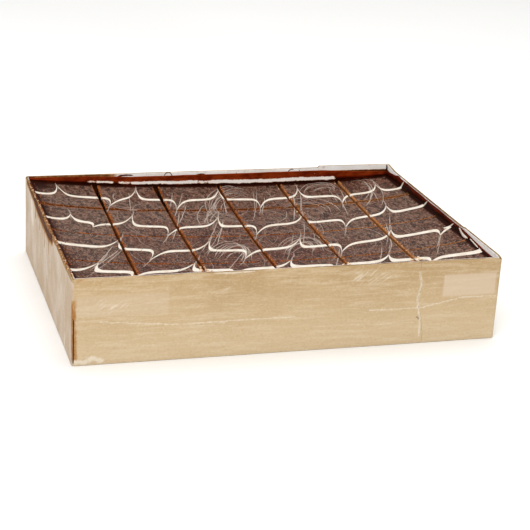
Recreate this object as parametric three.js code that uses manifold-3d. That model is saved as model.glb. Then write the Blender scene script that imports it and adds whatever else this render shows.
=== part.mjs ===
// Chocolate truffle mousse traybake: a chilled mousse cake set in its own corrugated card tray,
// cut into six columns by four rows, with feathered white icing on a dark glaze.
// Millimetres, +Z up. The origin is at the middle of the tray's underside, X runs along its length.
import * as THREE from "three";
import { mergeVertices } from "three/addons/utils/BufferGeometryUtils.js";
import Module from "manifold-3d";

const wasm = await Module();
wasm.setup();

// Driving dimensions.
const TRAY = { length: 406, width: 300, height: 82, board: 3, corner: 3.5, foot: 1.2 };
const CLEARANCE = 0.3; // between pieces that touch
const HALF_X = TRAY.length / 2;
const HALF_Y = TRAY.width / 2;
const CAKE_X = HALF_X - TRAY.board - CLEARANCE;
const CAKE_Y = HALF_Y - TRAY.board - CLEARANCE;
const CAKE_BASE = TRAY.board + CLEARANCE;

// The top surface is a shallow dish: lowest in the middle, climbing towards the tray's walls.
const DISH = {
  spanX: 200,
  spanY: 147,
  low: 60.2,
  endRise: 9.5,
  endFlare: 4.5,
  sideRise: 4.8,
  twist: -2.2,
  tilt: -1.5,
  cornerDrop: -5,
};

// Knife cuts. Front-to-back cuts lean a little and gape where they meet the back wall.
const COLUMN_CUTS = [
  { x: -134.5, gape: 2.6 },
  { x: -69, gape: 3 },
  { x: 0.5, gape: 0.6 },
  { x: 69, gape: 0.8 },
  { x: 136, gape: 1 },
];
const ROW_CUTS = [77, 0, -77];
const CUT_LEAN = 0.028;
const COLUMN_KERF = 2.2;
const ROW_KERF = 1.1;
const CUT_EDGE = { inset: 1.6, drop: 0.8, lift: 0.7 };

// Feathered icing: four piped lines, pulled alternately back and front by ten comb strokes.
const ICING = { relief: 0.6, root: 0.7, bevel: 0.7, reach: 4.2 };
const LINES = [
  { y: 107, tilt: -5, bow: -3, width: 5.2, pull: 0.95 },
  { y: 28, tilt: 0, bow: 7, width: 5.4, pull: 0.95 },
  { y: -41, tilt: 0, bow: 6, width: 6, pull: 0.92 },
  { y: -95.5, tilt: -2.5, bow: -12.5, width: 6.8, pull: 0.7 },
];
// The comb's strokes cross y = +100 an even pitch apart and y = -100 at a pitch that grows to the right.
// Each bows to the right between the two, and pulls a little less than the one before it.
const COMB = {
  count: 7,
  back: -96,
  backPitch: 45,
  front: -178,
  frontPitch: 43,
  frontGrowth: 0.75,
  bend: 8,
  pull: 33,
  pullLoss: 1.5,
};
// Strokes by the end walls. ends is the y where one stops short; it weakens over STROKE_FADE before that.
const END_STROKES = [
  { back: -170, front: -200, bend: COMB.bend, pull: 34, ends: 0 },
  { back: -120, front: -225, bend: COMB.bend, pull: -24, ends: 0 },
  { back: 240, front: 155, bend: COMB.bend, pull: -18 },
];
const STROKES = [
  ...END_STROKES,
  ...Array.from({ length: COMB.count }, (_, n) => ({
    back: COMB.back + COMB.backPitch * n,
    front: COMB.front + COMB.frontPitch * n + COMB.frontGrowth * n ** 2,
    bend: COMB.bend,
    pull: (n % 2 === 0 ? 1 : -1) * (COMB.pull - COMB.pullLoss * n),
  })),
].sort((a, b) => a.front + a.back - b.front - b.back);
const STROKE_SPAN = 100;
const STROKE_FADE = 50;
const CUSP_STEPS = [0, 0.8, 2, 4, 7, 11, 17]; // sample distances from a stroke
const SAMPLE_GAP = 0.3; // samples closer than this are one

// Where glaze ran up the inside of the walls: its top edge, as height against place along a side.
const COAT = { foot: 4.2, toe: 0.4, fillet: 2.6, fillShare: 0.225, thick: 1, lip: 0.6, least: 1.6 };
const COAT_TOP = {
  front: [[-200, 80.6], [-90, 79.2], [20, 80], [120, 78.6], [200, 76.5]],
  right: [[-147, 76.5], [-128, 76.2], [-62, 80.4], [110, 80.4], [147, 76]],
  back: [[-200, 81.2], [-140, 80.8], [-90, 78.6], [40, 79], [122, 79.4], [165, 77], [200, 76]],
  left: [[-147, 80.6], [-40, 79.8], [60, 80.6], [147, 81.2]],
};

// The tray's cut rim: an overlapping flap stands higher at the back, and the left edge is ragged.
const RIM = {
  front: [[-203, 82], [203, 82]],
  right: [[-150, 82], [-61, 82], [-60, 81], [128, 81], [150, 83.6]],
  back: [[-203, 82], [118.6, 82], [119.2, 83.8], [203, 83.6]],
  left: [[-150, 82], [-112, 81], [-70, 81.6], [-10, 80.6], [40, 81.4], [96, 80.8], [150, 82]],
};
const RIM_STEP = 1; // the width within which the rim jumps from one height to the next
const SLIT = { width: 1.1, depth: 2.6, from: 2, to: 44 };
const CRUSH = { size: 7, sink: 0.5, tilt: 0.32 };

// How finely the surfaces are divided.
const CORNER_STEPS = 4;
const WALL_STEP = { x: 26, y: 21 };
const WALL_LEVELS = [0.36, 0.78];
const FOOT_BEVEL = 0.3;
const SLAB_STEPS = 12;

function between(points, at) {
  const last = points.length - 1;
  const next = Math.min(Math.max(points.findIndex(([place]) => place >= at), 1), last);
  const [fromPlace, fromValue] = points[next - 1];
  const [toPlace, toValue] = points[next];
  const share = THREE.MathUtils.clamp((at - fromPlace) / (toPlace - fromPlace), 0, 1);
  return THREE.MathUtils.lerp(fromValue, toValue, at > toPlace ? 1 : share);
}

function dishHeight(x, y) {
  const u = x / DISH.spanX;
  const v = y / DISH.spanY;
  const ends = DISH.endRise * u ** 2 + DISH.endFlare * u ** 4 + DISH.tilt * u;
  const sides = DISH.sideRise * v ** 2 + DISH.twist * u * v;
  return DISH.low + ends + sides + DISH.cornerDrop * u ** 2 * v ** 2;
}

// Geometry and solids.
function geometryOf(positions, triangles) {
  const geometry = new THREE.BufferGeometry();
  geometry.setAttribute("position", new THREE.Float32BufferAttribute(positions, 3));
  geometry.setIndex(triangles);
  return geometry;
}

// Joins equal loops of points, one after another, and closes the first and last with a fan, or
// joins the last to the first where the loops run round in a ring.
function loft(loops, isRing = false) {
  const size = loops[0].length;
  const positions = loops.flat(2);
  const triangles = [];
  const corner = (loop, point) => (loop % loops.length) * size + (point % size);
  const bands = isRing ? loops.length : loops.length - 1;
  for (let i = 0; i < bands; i++) {
    for (let j = 0; j < size; j++) {
      triangles.push(corner(i, j), corner(i, j + 1), corner(i + 1, j + 1));
      triangles.push(corner(i, j), corner(i + 1, j + 1), corner(i + 1, j));
    }
  }
  const fan = (loop, flips) => {
    const centre = positions.length / 3;
    for (const axis of [0, 1, 2]) {
      positions.push(loops[loop].reduce((sum, point) => sum + point[axis], 0) / size);
    }
    for (let j = 0; j < size; j++) {
      const edge = [corner(loop, j), corner(loop, j + 1)];
      triangles.push(centre, ...(flips ? edge.reverse() : edge));
    }
  };
  if (!isRing) {
    fan(0, true);
    fan(loops.length - 1, false);
  }
  return geometryOf(positions, triangles);
}

// A block with a flat base and a top worked out point by point over a four-cornered plan.
function block(plan, steps, topOf, base) {
  const count = steps.length;
  const positions = [];
  const triangles = [];
  for (const t of steps) {
    for (const s of steps) {
      const [x, y] = plan(s, t);
      positions.push(x, y, topOf(x, y, s, t));
    }
  }
  for (let j = 0; j < count - 1; j++) {
    for (let i = 0; i < count - 1; i++) {
      const a = j * count + i;
      triangles.push(a, a + 1, a + count + 1, a, a + count + 1, a + count);
    }
  }
  const rim = [];
  for (let i = 0; i < count - 1; i++) rim.push(i);
  for (let j = 0; j < count - 1; j++) rim.push(j * count + count - 1);
  for (let i = count - 1; i > 0; i--) rim.push((count - 1) * count + i);
  for (let j = count - 1; j > 0; j--) rim.push(j * count);
  const foot = positions.length / 3;
  for (const top of rim) positions.push(positions[top * 3], positions[top * 3 + 1], base);
  const centre = positions.length / 3;
  positions.push(...plan(0.5, 0.5), base);
  rim.forEach((top, i) => {
    const next = (i + 1) % rim.length;
    triangles.push(top, foot + i, foot + next, top, foot + next, rim[next]);
    triangles.push(centre, foot + next, foot + i);
  });
  return geometryOf(positions, triangles);
}

function solidOf(geometry) {
  const bare = geometry.clone();
  bare.deleteAttribute("normal");
  bare.deleteAttribute("uv");
  const merged = mergeVertices(bare);
  return new wasm.Manifold(
    new wasm.Mesh({
      numProp: 3,
      vertProperties: new Float32Array(merged.attributes.position.array),
      triVerts: new Uint32Array(merged.index.array),
    }),
  );
}

function meshOf(solid, name, material) {
  const { numProp, vertProperties, triVerts } = solid.getMesh();
  const positions = [];
  for (let i = 0; i < vertProperties.length; i += numProp) {
    positions.push(vertProperties[i], vertProperties[i + 1], vertProperties[i + 2]);
  }
  const geometry = geometryOf(positions, Array.from(triVerts));
  geometry.computeVertexNormals();
  const mesh = new THREE.Mesh(geometry, material);
  mesh.name = name;
  return mesh;
}

// Places round the tray's outer wall, counterclockwise from the front left corner, each with the
// direction it faces, the side it is on and how far along that side it is.
function wallPlaces() {
  const straightX = HALF_X - TRAY.corner;
  const straightY = HALF_Y - TRAY.corner;
  const stops = (half, step, extra) => {
    const count = Math.round((2 * half) / step);
    const even = Array.from({ length: count + 1 }, (_, i) => -half + (2 * half * i) / count);
    return [...even, ...extra].sort((a, b) => a - b);
  };
  // Both sides of each sudden step in a side's rim.
  const stepsOf = (side) =>
    RIM[side].map(([at]) => at).filter((at, i, all) => {
      return [all[i - 1], all[i + 1]].some((other) => Math.abs(other - at) <= RIM_STEP);
    });
  const places = [];
  const corner = (signX, signY, fromAngle, sides) => {
    for (let i = 1; i < CORNER_STEPS; i++) {
      const angle = fromAngle + (Math.PI / 2) * (i / CORNER_STEPS);
      const nx = Math.cos(angle);
      const ny = Math.sin(angle);
      const x = signX * straightX + nx * TRAY.corner;
      const y = signY * straightY + ny * TRAY.corner;
      const side = sides[i * 2 <= CORNER_STEPS ? 0 : 1];
      places.push({ x, y, nx, ny, side, along: side === "left" || side === "right" ? y : x });
    }
  };
  for (const x of stops(straightX, WALL_STEP.x, [])) {
    places.push({ x, y: -HALF_Y, nx: 0, ny: -1, side: "front", along: x });
  }
  corner(1, -1, -Math.PI / 2, ["front", "right"]);
  for (const y of stops(straightY, WALL_STEP.y, stepsOf("right"))) {
    places.push({ x: HALF_X, y, nx: 1, ny: 0, side: "right", along: y });
  }
  corner(1, 1, 0, ["right", "back"]);
  for (const x of stops(straightX, WALL_STEP.x, stepsOf("back")).reverse()) {
    places.push({ x, y: HALF_Y, nx: 0, ny: 1, side: "back", along: x });
  }
  corner(-1, 1, Math.PI / 2, ["back", "left"]);
  for (const y of stops(straightY, WALL_STEP.y, []).reverse()) {
    places.push({ x: -HALF_X, y, nx: -1, ny: 0, side: "left", along: y });
  }
  corner(-1, -1, Math.PI, ["left", "front"]);
  return places;
}

const inwards = ({ x, y, nx, ny }, inset) => [x - nx * inset, y - ny * inset];

// The card tray: floor and four walls in one piece, open at the top.
function traySolid(places) {
  const row = (inset, heightOf) => places.map((p) => [...inwards(p, inset), heightOf(p)]);
  const rim = (p) => between(RIM[p.side], p.along);
  const shell = solidOf(
    loft([
      row(TRAY.foot, () => 0),
      row(TRAY.foot * FOOT_BEVEL, () => TRAY.foot * FOOT_BEVEL),
      row(0, () => TRAY.foot),
      ...WALL_LEVELS.map((share) => row(0, () => TRAY.height * share)),
      row(0, rim),
      row(TRAY.board, rim),
      row(TRAY.board, () => TRAY.board),
    ]),
  );
  return shell.subtract(slitSolid()).subtract(crushSolid());
}

// The seam that has opened up the lower half of the front left corner.
function slitSolid() {
  const reach = TRAY.corner + SLIT.depth;
  const slot = new THREE.BoxGeometry(reach * 2, SLIT.width, SLIT.to - SLIT.from);
  slot.rotateZ(Math.PI / 4);
  slot.translate(-HALF_X, -HALF_Y, (SLIT.from + SLIT.to) / 2);
  return solidOf(slot);
}

// The flattened top of the front right corner.
function crushSolid() {
  const dent = new THREE.BoxGeometry(CRUSH.size * 2, CRUSH.size * 2, CRUSH.size * 2);
  dent.translate(0, 0, CRUSH.size);
  dent.applyMatrix4(
    new THREE.Matrix4().makeRotationAxis(new THREE.Vector3(1, 1, 0).normalize(), CRUSH.tilt),
  );
  dent.translate(HALF_X - TRAY.board, -HALF_Y + TRAY.board, TRAY.height - CRUSH.sink);
  return solidOf(dent);
}

// Places for the coat: those along each wall, and one in each corner that faces both walls alike.
function coatPlaces(places) {
  const reach = TRAY.board + CLEARANCE + COAT.foot;
  const isCorner = ({ x, y }) => HALF_X - Math.abs(x) < reach && HALF_Y - Math.abs(y) < reach;
  return places.flatMap((place, i) => {
    if (!isCorner(place)) return [place];
    if (isCorner(places.at(i - 1))) return [];
    const nx = Math.sign(place.x);
    const ny = Math.sign(place.y);
    return [{ ...place, x: nx * HALF_X, y: ny * HALF_Y, nx, ny }];
  });
}

// The glaze that clings to the inside of the walls, above the edge of the cake.
function coatSolid(places) {
  const wall = TRAY.board + CLEARANCE;
  const loops = coatPlaces(places).map((p) => {
    const above = (inset, lift) => {
      const [x, y] = inwards(p, inset);
      return [x, y, dishHeight(x, y) + ICING.relief + CLEARANCE + lift];
    };
    const foot = above(wall, 0);
    const top = Math.max(between(COAT_TOP[p.side], p.along), foot[2] + COAT.least);
    const levelAt = (share) => THREE.MathUtils.lerp(foot[2], top, share);
    return [
      foot,
      above(wall + COAT.foot, 0),
      above(wall + COAT.foot, COAT.toe),
      [...inwards(p, wall + COAT.fillet), levelAt(COAT.fillShare)],
      [...inwards(p, wall + COAT.thick), levelAt(0.5)],
      [...inwards(p, wall + COAT.thick), top - COAT.lip],
      [...inwards(p, wall + COAT.thick * 0.5), top],
      [...inwards(p, wall), top],
    ];
  });
  return solidOf(loft(loops, true));
}

// Feathered icing. A stroke's place across the cake at a given y, and how far it leans there.
function strokeAt(stroke, y) {
  const t = y / STROKE_SPAN;
  const middle = (stroke.back + stroke.front) / 2 + ((stroke.back - stroke.front) / 2) * t;
  return middle + stroke.bend * (1 - t * t);
}

function strokeLean(stroke, y) {
  return ((stroke.back - stroke.front) / 2 - 2 * stroke.bend * (y / STROKE_SPAN)) / STROKE_SPAN;
}

function strokeStrength({ ends = -Infinity }, y) {
  return THREE.MathUtils.clamp((y - ends) / STROKE_FADE, 0, 1);
}

// One piped line as a low ribbon that follows the dish, drawn to a cusp at every stroke.
function icingSolid(line) {
  const baseY = (x) => line.y + line.tilt * (x / DISH.spanX) + line.bow * (x / DISH.spanX) ** 2;
  const strokes = STROKES.filter((stroke) => strokeStrength(stroke, line.y) > 0);
  const cusps = strokes.map((stroke) => strokeAt(stroke, line.y));
  const around = CUSP_STEPS.flatMap((step) => cusps.flatMap((x) => [x - step, x + step]));
  const stops = [-HALF_X, ...around, HALF_X]
    .filter((x) => Math.abs(x) <= HALF_X)
    .sort((a, b) => a - b)
    .filter((x, i, all) => i === 0 || x - all[i - 1] > SAMPLE_GAP);
  const loops = stops.map((x) => {
    const y = baseY(x);
    const pulls = strokes.map((stroke) => {
      const away = Math.abs(x - strokeAt(stroke, y));
      const strength = strokeStrength(stroke, line.y) * line.pull;
      const pull = stroke.pull * strength * Math.exp(-away / ICING.reach);
      return { pull, lean: strokeLean(stroke, y + pull / 2) };
    });
    const lean = between(cusps.map((cusp, i) => [cusp, strokeLean(strokes[i], y)]), x);
    const centreX = x + pulls.reduce((sum, p) => sum + p.pull * p.lean, 0);
    const centreY = y + pulls.reduce((sum, p) => sum + p.pull, 0);
    const point = (across, lift) => {
      const px = centreX + across * lean;
      const py = centreY + across;
      return [px, py, dishHeight(px, py) + lift];
    };
    const half = line.width / 2;
    return [
      point(-half, -ICING.root),
      point(half, -ICING.root),
      point(half - ICING.bevel, ICING.relief),
      point(ICING.bevel - half, ICING.relief),
    ];
  });
  return solidOf(loft(loops));
}

// The whole cake before it is cut: the dished slab with the icing laid into its glaze.
function slabSolid() {
  const steps = Array.from({ length: SLAB_STEPS + 1 }, (_, i) => i / SLAB_STEPS);
  const plan = (s, t) => [(2 * s - 1) * HALF_X, (2 * t - 1) * HALF_Y];
  const slab = solidOf(block(plan, steps, dishHeight, 0));
  return LINES.reduce((whole, line) => whole.add(icingSolid(line)), slab);
}

// The edge of a column at a given y: a wall's face, or one lip of a cut.
function columnEdge(cut, side, y) {
  if (!cut) return -side * CAKE_X;
  const backShare = Math.max(0, (y - ROW_CUTS[0]) / (CAKE_Y - ROW_CUTS[0]));
  const kerf = COLUMN_KERF + cut.gape * backShare;
  return cut.x + CUT_LEAN * y + (side * kerf) / 2;
}

// The space of one piece: upright cut faces, with the top edges knocked off by the knife.
function pieceSpace(row, column) {
  const back = row === 0 ? CAKE_Y : ROW_CUTS[row - 1] - ROW_KERF / 2;
  const front = row === ROW_CUTS.length ? -CAKE_Y : ROW_CUTS[row] + ROW_KERF / 2;
  const plan = (s, t) => {
    const y = THREE.MathUtils.lerp(front, back, t);
    const left = columnEdge(COLUMN_CUTS[column - 1], 1, y);
    const right = columnEdge(COLUMN_CUTS[column], -1, y);
    return [THREE.MathUtils.lerp(left, right, s), y];
  };
  const inset = CUT_EDGE.inset / ROW_CUTS[0];
  const steps = [0, inset, 0.5, 1 - inset, 1];
  const topOf = (x, y, s, t) => {
    const isEdge = [s, t].some((share) => share === 0 || share === 1);
    return dishHeight(x, y) + (isEdge ? -CUT_EDGE.drop : CUT_EDGE.lift);
  };
  return solidOf(block(plan, steps, topOf, CAKE_BASE));
}

// Materials and assembly.
const material = (color, roughness) =>
  new THREE.MeshStandardMaterial({ color, roughness, metalness: 0 });

const cake = new THREE.Group();
const places = wallPlaces();
cake.add(meshOf(traySolid(places), "tray", material(0xd9c19a, 0.85)));
cake.add(meshOf(coatSolid(places), "wall_glaze", material(0x4a1f12, 0.3)));
const slab = slabSolid();
for (let row = 0; row <= ROW_CUTS.length; row++) {
  for (let column = 0; column <= COLUMN_CUTS.length; column++) {
    const piece = slab.intersect(pieceSpace(row, column));
    const name = `cake_r${row + 1}_c${column + 1}`;
    cake.add(meshOf(piece, name, material(0x57423b, 0.4)));
  }
}

export default cake;
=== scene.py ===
# Looks for a chocolate truffle mousse traybake, cut in its corrugated card tray.
# Sizes are in millimetres, as in the solids, and turn into metres when a mesh is made.
import math

import bmesh
import bpy
import numpy as np
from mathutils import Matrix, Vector


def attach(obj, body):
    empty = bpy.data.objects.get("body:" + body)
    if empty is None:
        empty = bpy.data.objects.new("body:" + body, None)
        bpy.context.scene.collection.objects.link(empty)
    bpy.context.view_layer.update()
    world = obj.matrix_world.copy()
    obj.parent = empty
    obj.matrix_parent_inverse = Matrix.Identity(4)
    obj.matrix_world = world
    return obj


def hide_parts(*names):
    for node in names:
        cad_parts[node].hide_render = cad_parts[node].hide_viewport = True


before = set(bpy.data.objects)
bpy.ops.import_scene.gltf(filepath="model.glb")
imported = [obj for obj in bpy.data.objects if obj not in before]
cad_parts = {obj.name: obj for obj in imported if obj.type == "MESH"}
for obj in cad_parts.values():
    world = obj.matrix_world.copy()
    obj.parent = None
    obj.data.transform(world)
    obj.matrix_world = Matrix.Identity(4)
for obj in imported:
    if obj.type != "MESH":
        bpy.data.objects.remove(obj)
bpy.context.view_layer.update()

MM = 0.001

# ---- sizes shared with the solids
HALF_X, HALF_Y, HEIGHT = 203.0, 150.0, 82.0
BOARD, CORNER, FOOT, GAP = 3.0, 3.5, 1.2, 0.3
CAKE_X, CAKE_Y, CAKE_BASE = HALF_X - BOARD - GAP, HALF_Y - BOARD - GAP, BOARD + GAP
DISH = dict(span_x=200.0, span_y=147.0, low=60.2, end_rise=9.5, end_flare=4.5, side_rise=4.8,
            twist=-2.2, tilt=-1.5, corner_drop=-5.0)
RISE = dict(height=1.9, reach=2.4)  # the glaze climbs a little where it meets a wall
COLUMN_CUTS = [(-134.5, 2.6), (-69.0, 3.0), (0.5, 0.6), (69.0, 0.8), (136.0, 1.0)]  # x, gape
ROW_CUTS = [77.0, 0.0, -77.0]
CUT_LEAN, COLUMN_KERF, ROW_KERF = 0.028, 2.2, 1.1
ICING = dict(relief=0.32, reach_back=(4.4, 2.9), reach_front=(2.5, 4.6))
LINES = [  # y, tilt, bow, width, pull
    (107, -5, -3, 5.2, 0.95),
    (28, 0, 7, 5.4, 0.95),
    (-41, 0, 6, 6.0, 0.92),
    (-95.5, -2.5, -12.5, 6.8, 0.7),
]
COMB = dict(count=7, back=-96, back_pitch=45, front=-178, front_pitch=43, front_growth=0.75,
            bend=8, pull=33, pull_loss=1.5)
NEVER = -999  # below every place on the cake, for a stroke that doesn't stop short
END_STROKES = [  # x at the back, x at the front, bend, pull, the y where it stops
    (-170, -200, COMB["bend"], 34, 0),
    (-120, -225, COMB["bend"], -24, 0),
    (240, 155, COMB["bend"], -18, NEVER),
]


def comb_stroke(n):
    """One of the comb's even strokes; they open out to the right and pull a little less there."""
    front = COMB["front"] + COMB["front_pitch"] * n + COMB["front_growth"] * n**2
    pull = (1 if n % 2 == 0 else -1) * (COMB["pull"] - COMB["pull_loss"] * n)
    return COMB["back"] + COMB["back_pitch"] * n, front, COMB["bend"], pull, NEVER


STROKES = sorted([*END_STROKES, *map(comb_stroke, range(COMB["count"]))], key=lambda s: s[0] + s[1])
STROKE_SPAN, STROKE_FADE = 100.0, 50.0
COAT_TOP = {
    "front": [(-200, 80.6), (-90, 79.2), (20, 80), (120, 78.6), (200, 76.5)],
    "right": [(-147, 76.5), (-128, 76.2), (-62, 80.4), (110, 80.4), (147, 76)],
    "back": [(-200, 81.2), (-140, 80.8), (-90, 78.6), (40, 79), (122, 79.4), (165, 77), (200, 76)],
    "left": [(-147, 80.6), (-40, 79.8), (60, 80.6), (147, 81.2)],
}
RIM = {
    "front": [(-203, 82), (203, 82)],
    "right": [(-150, 82), (-61, 82), (-60, 81), (128, 81), (150, 83.6)],
    "back": [(-203, 82), (118.6, 82), (119.2, 83.8), (203, 83.6)],
    "left": [(-150, 82), (-112, 81), (-70, 81.6), (-10, 80.6), (40, 81.4), (96, 80.8), (150, 82)],
}
CRUSH = dict(x=200.0, y=-147.0, z=81.5, slope=0.2343)
SLIT = dict(low=2.0, high=44.0, width=1.3, depth=2.2)
SIDES = ("front", "right", "back", "left")


def table(points, at):
    """A value read off a list of (place, value), straight between its points."""
    places, values = zip(*points)
    return np.interp(at, places, values)


def dish(x, y):
    """Height of the cake's top, a shallow dish that climbs towards the walls."""
    u, v = np.clip(x / DISH["span_x"], -1, 1), np.clip(y / DISH["span_y"], -1, 1)
    ends = DISH["end_rise"] * u**2 + DISH["end_flare"] * u**4 + DISH["tilt"] * u
    sides = DISH["side_rise"] * v**2 + DISH["twist"] * u * v
    return DISH["low"] + ends + sides + DISH["corner_drop"] * u**2 * v**2


def wall_rise(off):
    """How far the top climbs at a distance from a wall."""
    return RISE["height"] * np.exp(-np.maximum(off, 0) / RISE["reach"])


def column_edge(cut, side, y):
    """x of one lip of a front-to-back cut; the cuts gape behind the first row."""
    x, gape = COLUMN_CUTS[cut]
    back_share = np.maximum(0, (y - ROW_CUTS[0]) / (CAKE_Y - ROW_CUTS[0]))
    return x + CUT_LEAN * y + side * (COLUMN_KERF + gape * back_share) / 2


def stroke_at(stroke, y):
    """x of a comb stroke at a given y."""
    t = y / STROKE_SPAN
    return (stroke[0] + stroke[1]) / 2 + (stroke[0] - stroke[1]) / 2 * t + stroke[2] * (1 - t * t)


def stroke_lean(stroke, y):
    """How far a stroke goes in x for each millimetre in y."""
    return ((stroke[0] - stroke[1]) / 2 - 2 * stroke[2] * (y / STROKE_SPAN)) / STROKE_SPAN


def stroke_pull(stroke, line):
    """How far a stroke drags a line; a stroke that stops short weakens before its end."""
    return stroke[3] * line[4] * min(1.0, max(0.0, (line[0] - stroke[4]) / STROKE_FADE))


# ---- steady noise
def hashed(ix, iy, iz, seed):
    """One steady number from 0 to 1 for each whole-number cell."""
    mask = 0xFFFFFFFF
    h = (ix * 374761393 + iy * 668265263 + iz * 1103515245 + seed * 1274126177) & mask
    h = ((h ^ (h >> 13)) * 1274126177) & mask
    h = ((h ^ (h >> 16)) * 668265263) & mask
    return ((h ^ (h >> 15)) & 0xFFFFFF) / 0xFFFFFF


def noise(x, y, z=0.0, size=10.0, seed=0, octaves=1):
    """Smooth noise from -1 to 1 with blobs about size across, and finer ones on top."""
    x, y, z = np.broadcast_arrays(*(np.asarray(v, float) for v in (x, y, z)))
    total, weight = np.zeros(x.shape), 0.0
    for octave in range(octaves):
        share = 0.5**octave
        scaled = [v / (size * share) + 17.3 * octave for v in (x, y, z)]
        cell = [np.floor(v).astype(np.int64) for v in scaled]
        part = [v - c for v, c in zip(scaled, cell)]
        part = [v * v * (3 - 2 * v) for v in part]
        for corner in range(8):
            step = [(corner >> axis) & 1 for axis in range(3)]
            w = np.ones(x.shape)
            for axis in range(3):
                w = w * (part[axis] if step[axis] else 1 - part[axis])
            near = [c + s for c, s in zip(cell, step)]
            total += share * w * (2 * hashed(*near, seed + octave) - 1)
        weight += share
    return total / weight


def spot(x, y, middle_x, middle_y, wide, high):
    """A soft patch, 1 at its middle and fading out past its half sizes."""
    return np.exp(-(((x - middle_x) / wide) ** 2 + ((y - middle_y) / high) ** 2))


def smooth_path(points, spacing):
    """Even points on a smooth curve through the points given."""
    points = np.array(points, float)
    if len(points) == 2:
        count = max(2, int(np.linalg.norm(points[1] - points[0]) / spacing) + 1)
        return points[0] + np.linspace(0, 1, count)[:, None] * (points[1] - points[0])
    ends = [2 * points[0] - points[1], *points, 2 * points[-1] - points[-2]]
    fine = []
    for a, b, c, d in zip(ends, ends[1:], ends[2:], ends[3:]):
        t = np.linspace(0, 1, 24, endpoint=False)[:, None]
        fine.append(0.5 * (2 * b + (c - a) * t + (2 * a - 5 * b + 4 * c - d) * t**2
                           + (3 * b - a - 3 * c + d) * t**3))
    fine = np.concatenate([*fine, points[-1:]])
    length = np.concatenate([[0], np.cumsum(np.linalg.norm(np.diff(fine, axis=0), axis=1))])
    at = np.linspace(0, length[-1], max(3, int(length[-1] / spacing) + 1))
    return np.stack([np.interp(at, length, fine[:, k]) for k in range(fine.shape[1])], 1)


def directions(path):
    """The direction of a path at each of its points."""
    turn = np.gradient(path, axis=0)
    return turn / np.linalg.norm(turn, axis=1)[:, None]


def normals(path):
    """The direction to the left of a flat path at each of its points."""
    turn = directions(path)
    return np.stack([-turn[:, 1], turn[:, 0]], 1)


def line_distance(px, py, path):
    """Distance of each point from a polyline."""
    best = np.full(np.shape(px), 1e9)
    for (ax, ay), (bx, by) in zip(path, path[1:]):
        dx, dy = bx - ax, by - ay
        t = np.clip(((px - ax) * dx + (py - ay) * dy) / (dx * dx + dy * dy), 0, 1)
        best = np.minimum(best, np.hypot(px - ax - t * dx, py - ay - t * dy))
    return best


# ---- meshes
class Shape:
    """Gathers points, faces and named values, and makes one mesh piece of them."""

    def __init__(self):
        self.points, self.faces, self.values, self.count = [], [], [], 0

    def add(self, points, faces, kind=0, **values):
        points = np.asarray(points, float).reshape(-1, 3)
        self.points.append(points)
        self.values.append({k: np.broadcast_to(v, len(points)) for k, v in values.items()})
        for group in faces if isinstance(faces, list) else [faces]:
            if len(group):
                self.faces.append((np.asarray(group, np.int64) + self.count, kind))
        self.count += len(points)

    def strip(self, rows, kind=0, **values):
        """A strip of surface between rows of points that run side by side."""
        self.add(np.stack(rows, 1), grid_faces(len(rows[0]), len(rows)), kind, **values)

    def mesh(self, name, scale=MM):
        points = np.concatenate(self.points) * scale
        mesh = bpy.data.meshes.new(name)
        mesh.vertices.add(len(points))
        mesh.vertices.foreach_set("co", points.astype(np.float32).ravel())
        loops = np.concatenate([f.ravel() for f, _ in self.faces])
        totals = np.concatenate([np.full(len(f), f.shape[1]) for f, _ in self.faces])
        kinds = np.concatenate([np.full(len(f), kind) for f, kind in self.faces])
        mesh.loops.add(len(loops))
        mesh.loops.foreach_set("vertex_index", loops.astype(np.int32))
        mesh.polygons.add(len(totals))
        starts = np.concatenate([[0], np.cumsum(totals)[:-1]])
        mesh.polygons.foreach_set("loop_start", starts.astype(np.int32))
        mesh.polygons.foreach_set("material_index", kinds.astype(np.int32))
        mesh.polygons.foreach_set("use_smooth", np.ones(len(totals), bool))
        mesh.update(calc_edges=True)
        for key in sorted({k for values in self.values for k in values}):
            parts = [v.get(key, np.zeros(len(p))) for v, p in zip(self.values, self.points)]
            layer = mesh.attributes.new(key, "FLOAT", "POINT")
            layer.data.foreach_set("value", np.concatenate(parts).astype(np.float32))
        mesh.validate()
        return mesh

    def piece(self, name, materials, sharp=50.0):
        mesh = self.mesh(name)
        for material in materials:
            mesh.materials.append(material)
        mesh.set_sharp_from_angle(angle=math.radians(sharp))
        made = bpy.data.objects.new(name, mesh)
        bpy.context.scene.collection.objects.link(made)
        return made


class Rings:
    """Rings of points round the tray's walls, one after another, with named values."""

    def __init__(self, x, y, nx, ny):
        self.x, self.y, self.nx, self.ny = x, y, nx, ny
        self.rows, self.values = [], []

    def add(self, inset, z, **values):
        z = np.broadcast_to(z, len(self.x)).astype(float)
        self.rows.append(np.column_stack([self.x - self.nx * inset, self.y - self.ny * inset, z]))
        self.values.append(values)

    def merged(self):
        """All points, and each named value at every one of them, 0 where a ring has none."""
        keys = sorted({k for values in self.values for k in values})
        spread = {k: [np.broadcast_to(v.get(k, 0.0), len(self.x)) for v in self.values] for k in keys}
        return np.concatenate(self.rows), {k: np.concatenate(v) for k, v in spread.items()}


def grid_faces(rows, columns, ring=False):
    """Quads between rows of equal length; a ring also joins each row's end to its start."""
    a = np.arange(rows - 1)[:, None] * columns + np.arange(columns if ring else columns - 1)
    b = np.arange(rows - 1)[:, None] * columns
    b = b + (np.arange(columns if ring else columns - 1) + 1) % columns
    return np.stack([a, b, b + columns, a + columns], -1).reshape(-1, 4)


# ---- materials
def linear(code):
    """A screen colour such as d9c19a as the shader's own numbers."""
    parts = [int(code[i:i + 2], 16) / 255 for i in (0, 2, 4)]
    return (*(p / 12.92 if p <= 0.04045 else ((p + 0.055) / 1.055) ** 2.4 for p in parts), 1.0)


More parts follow.
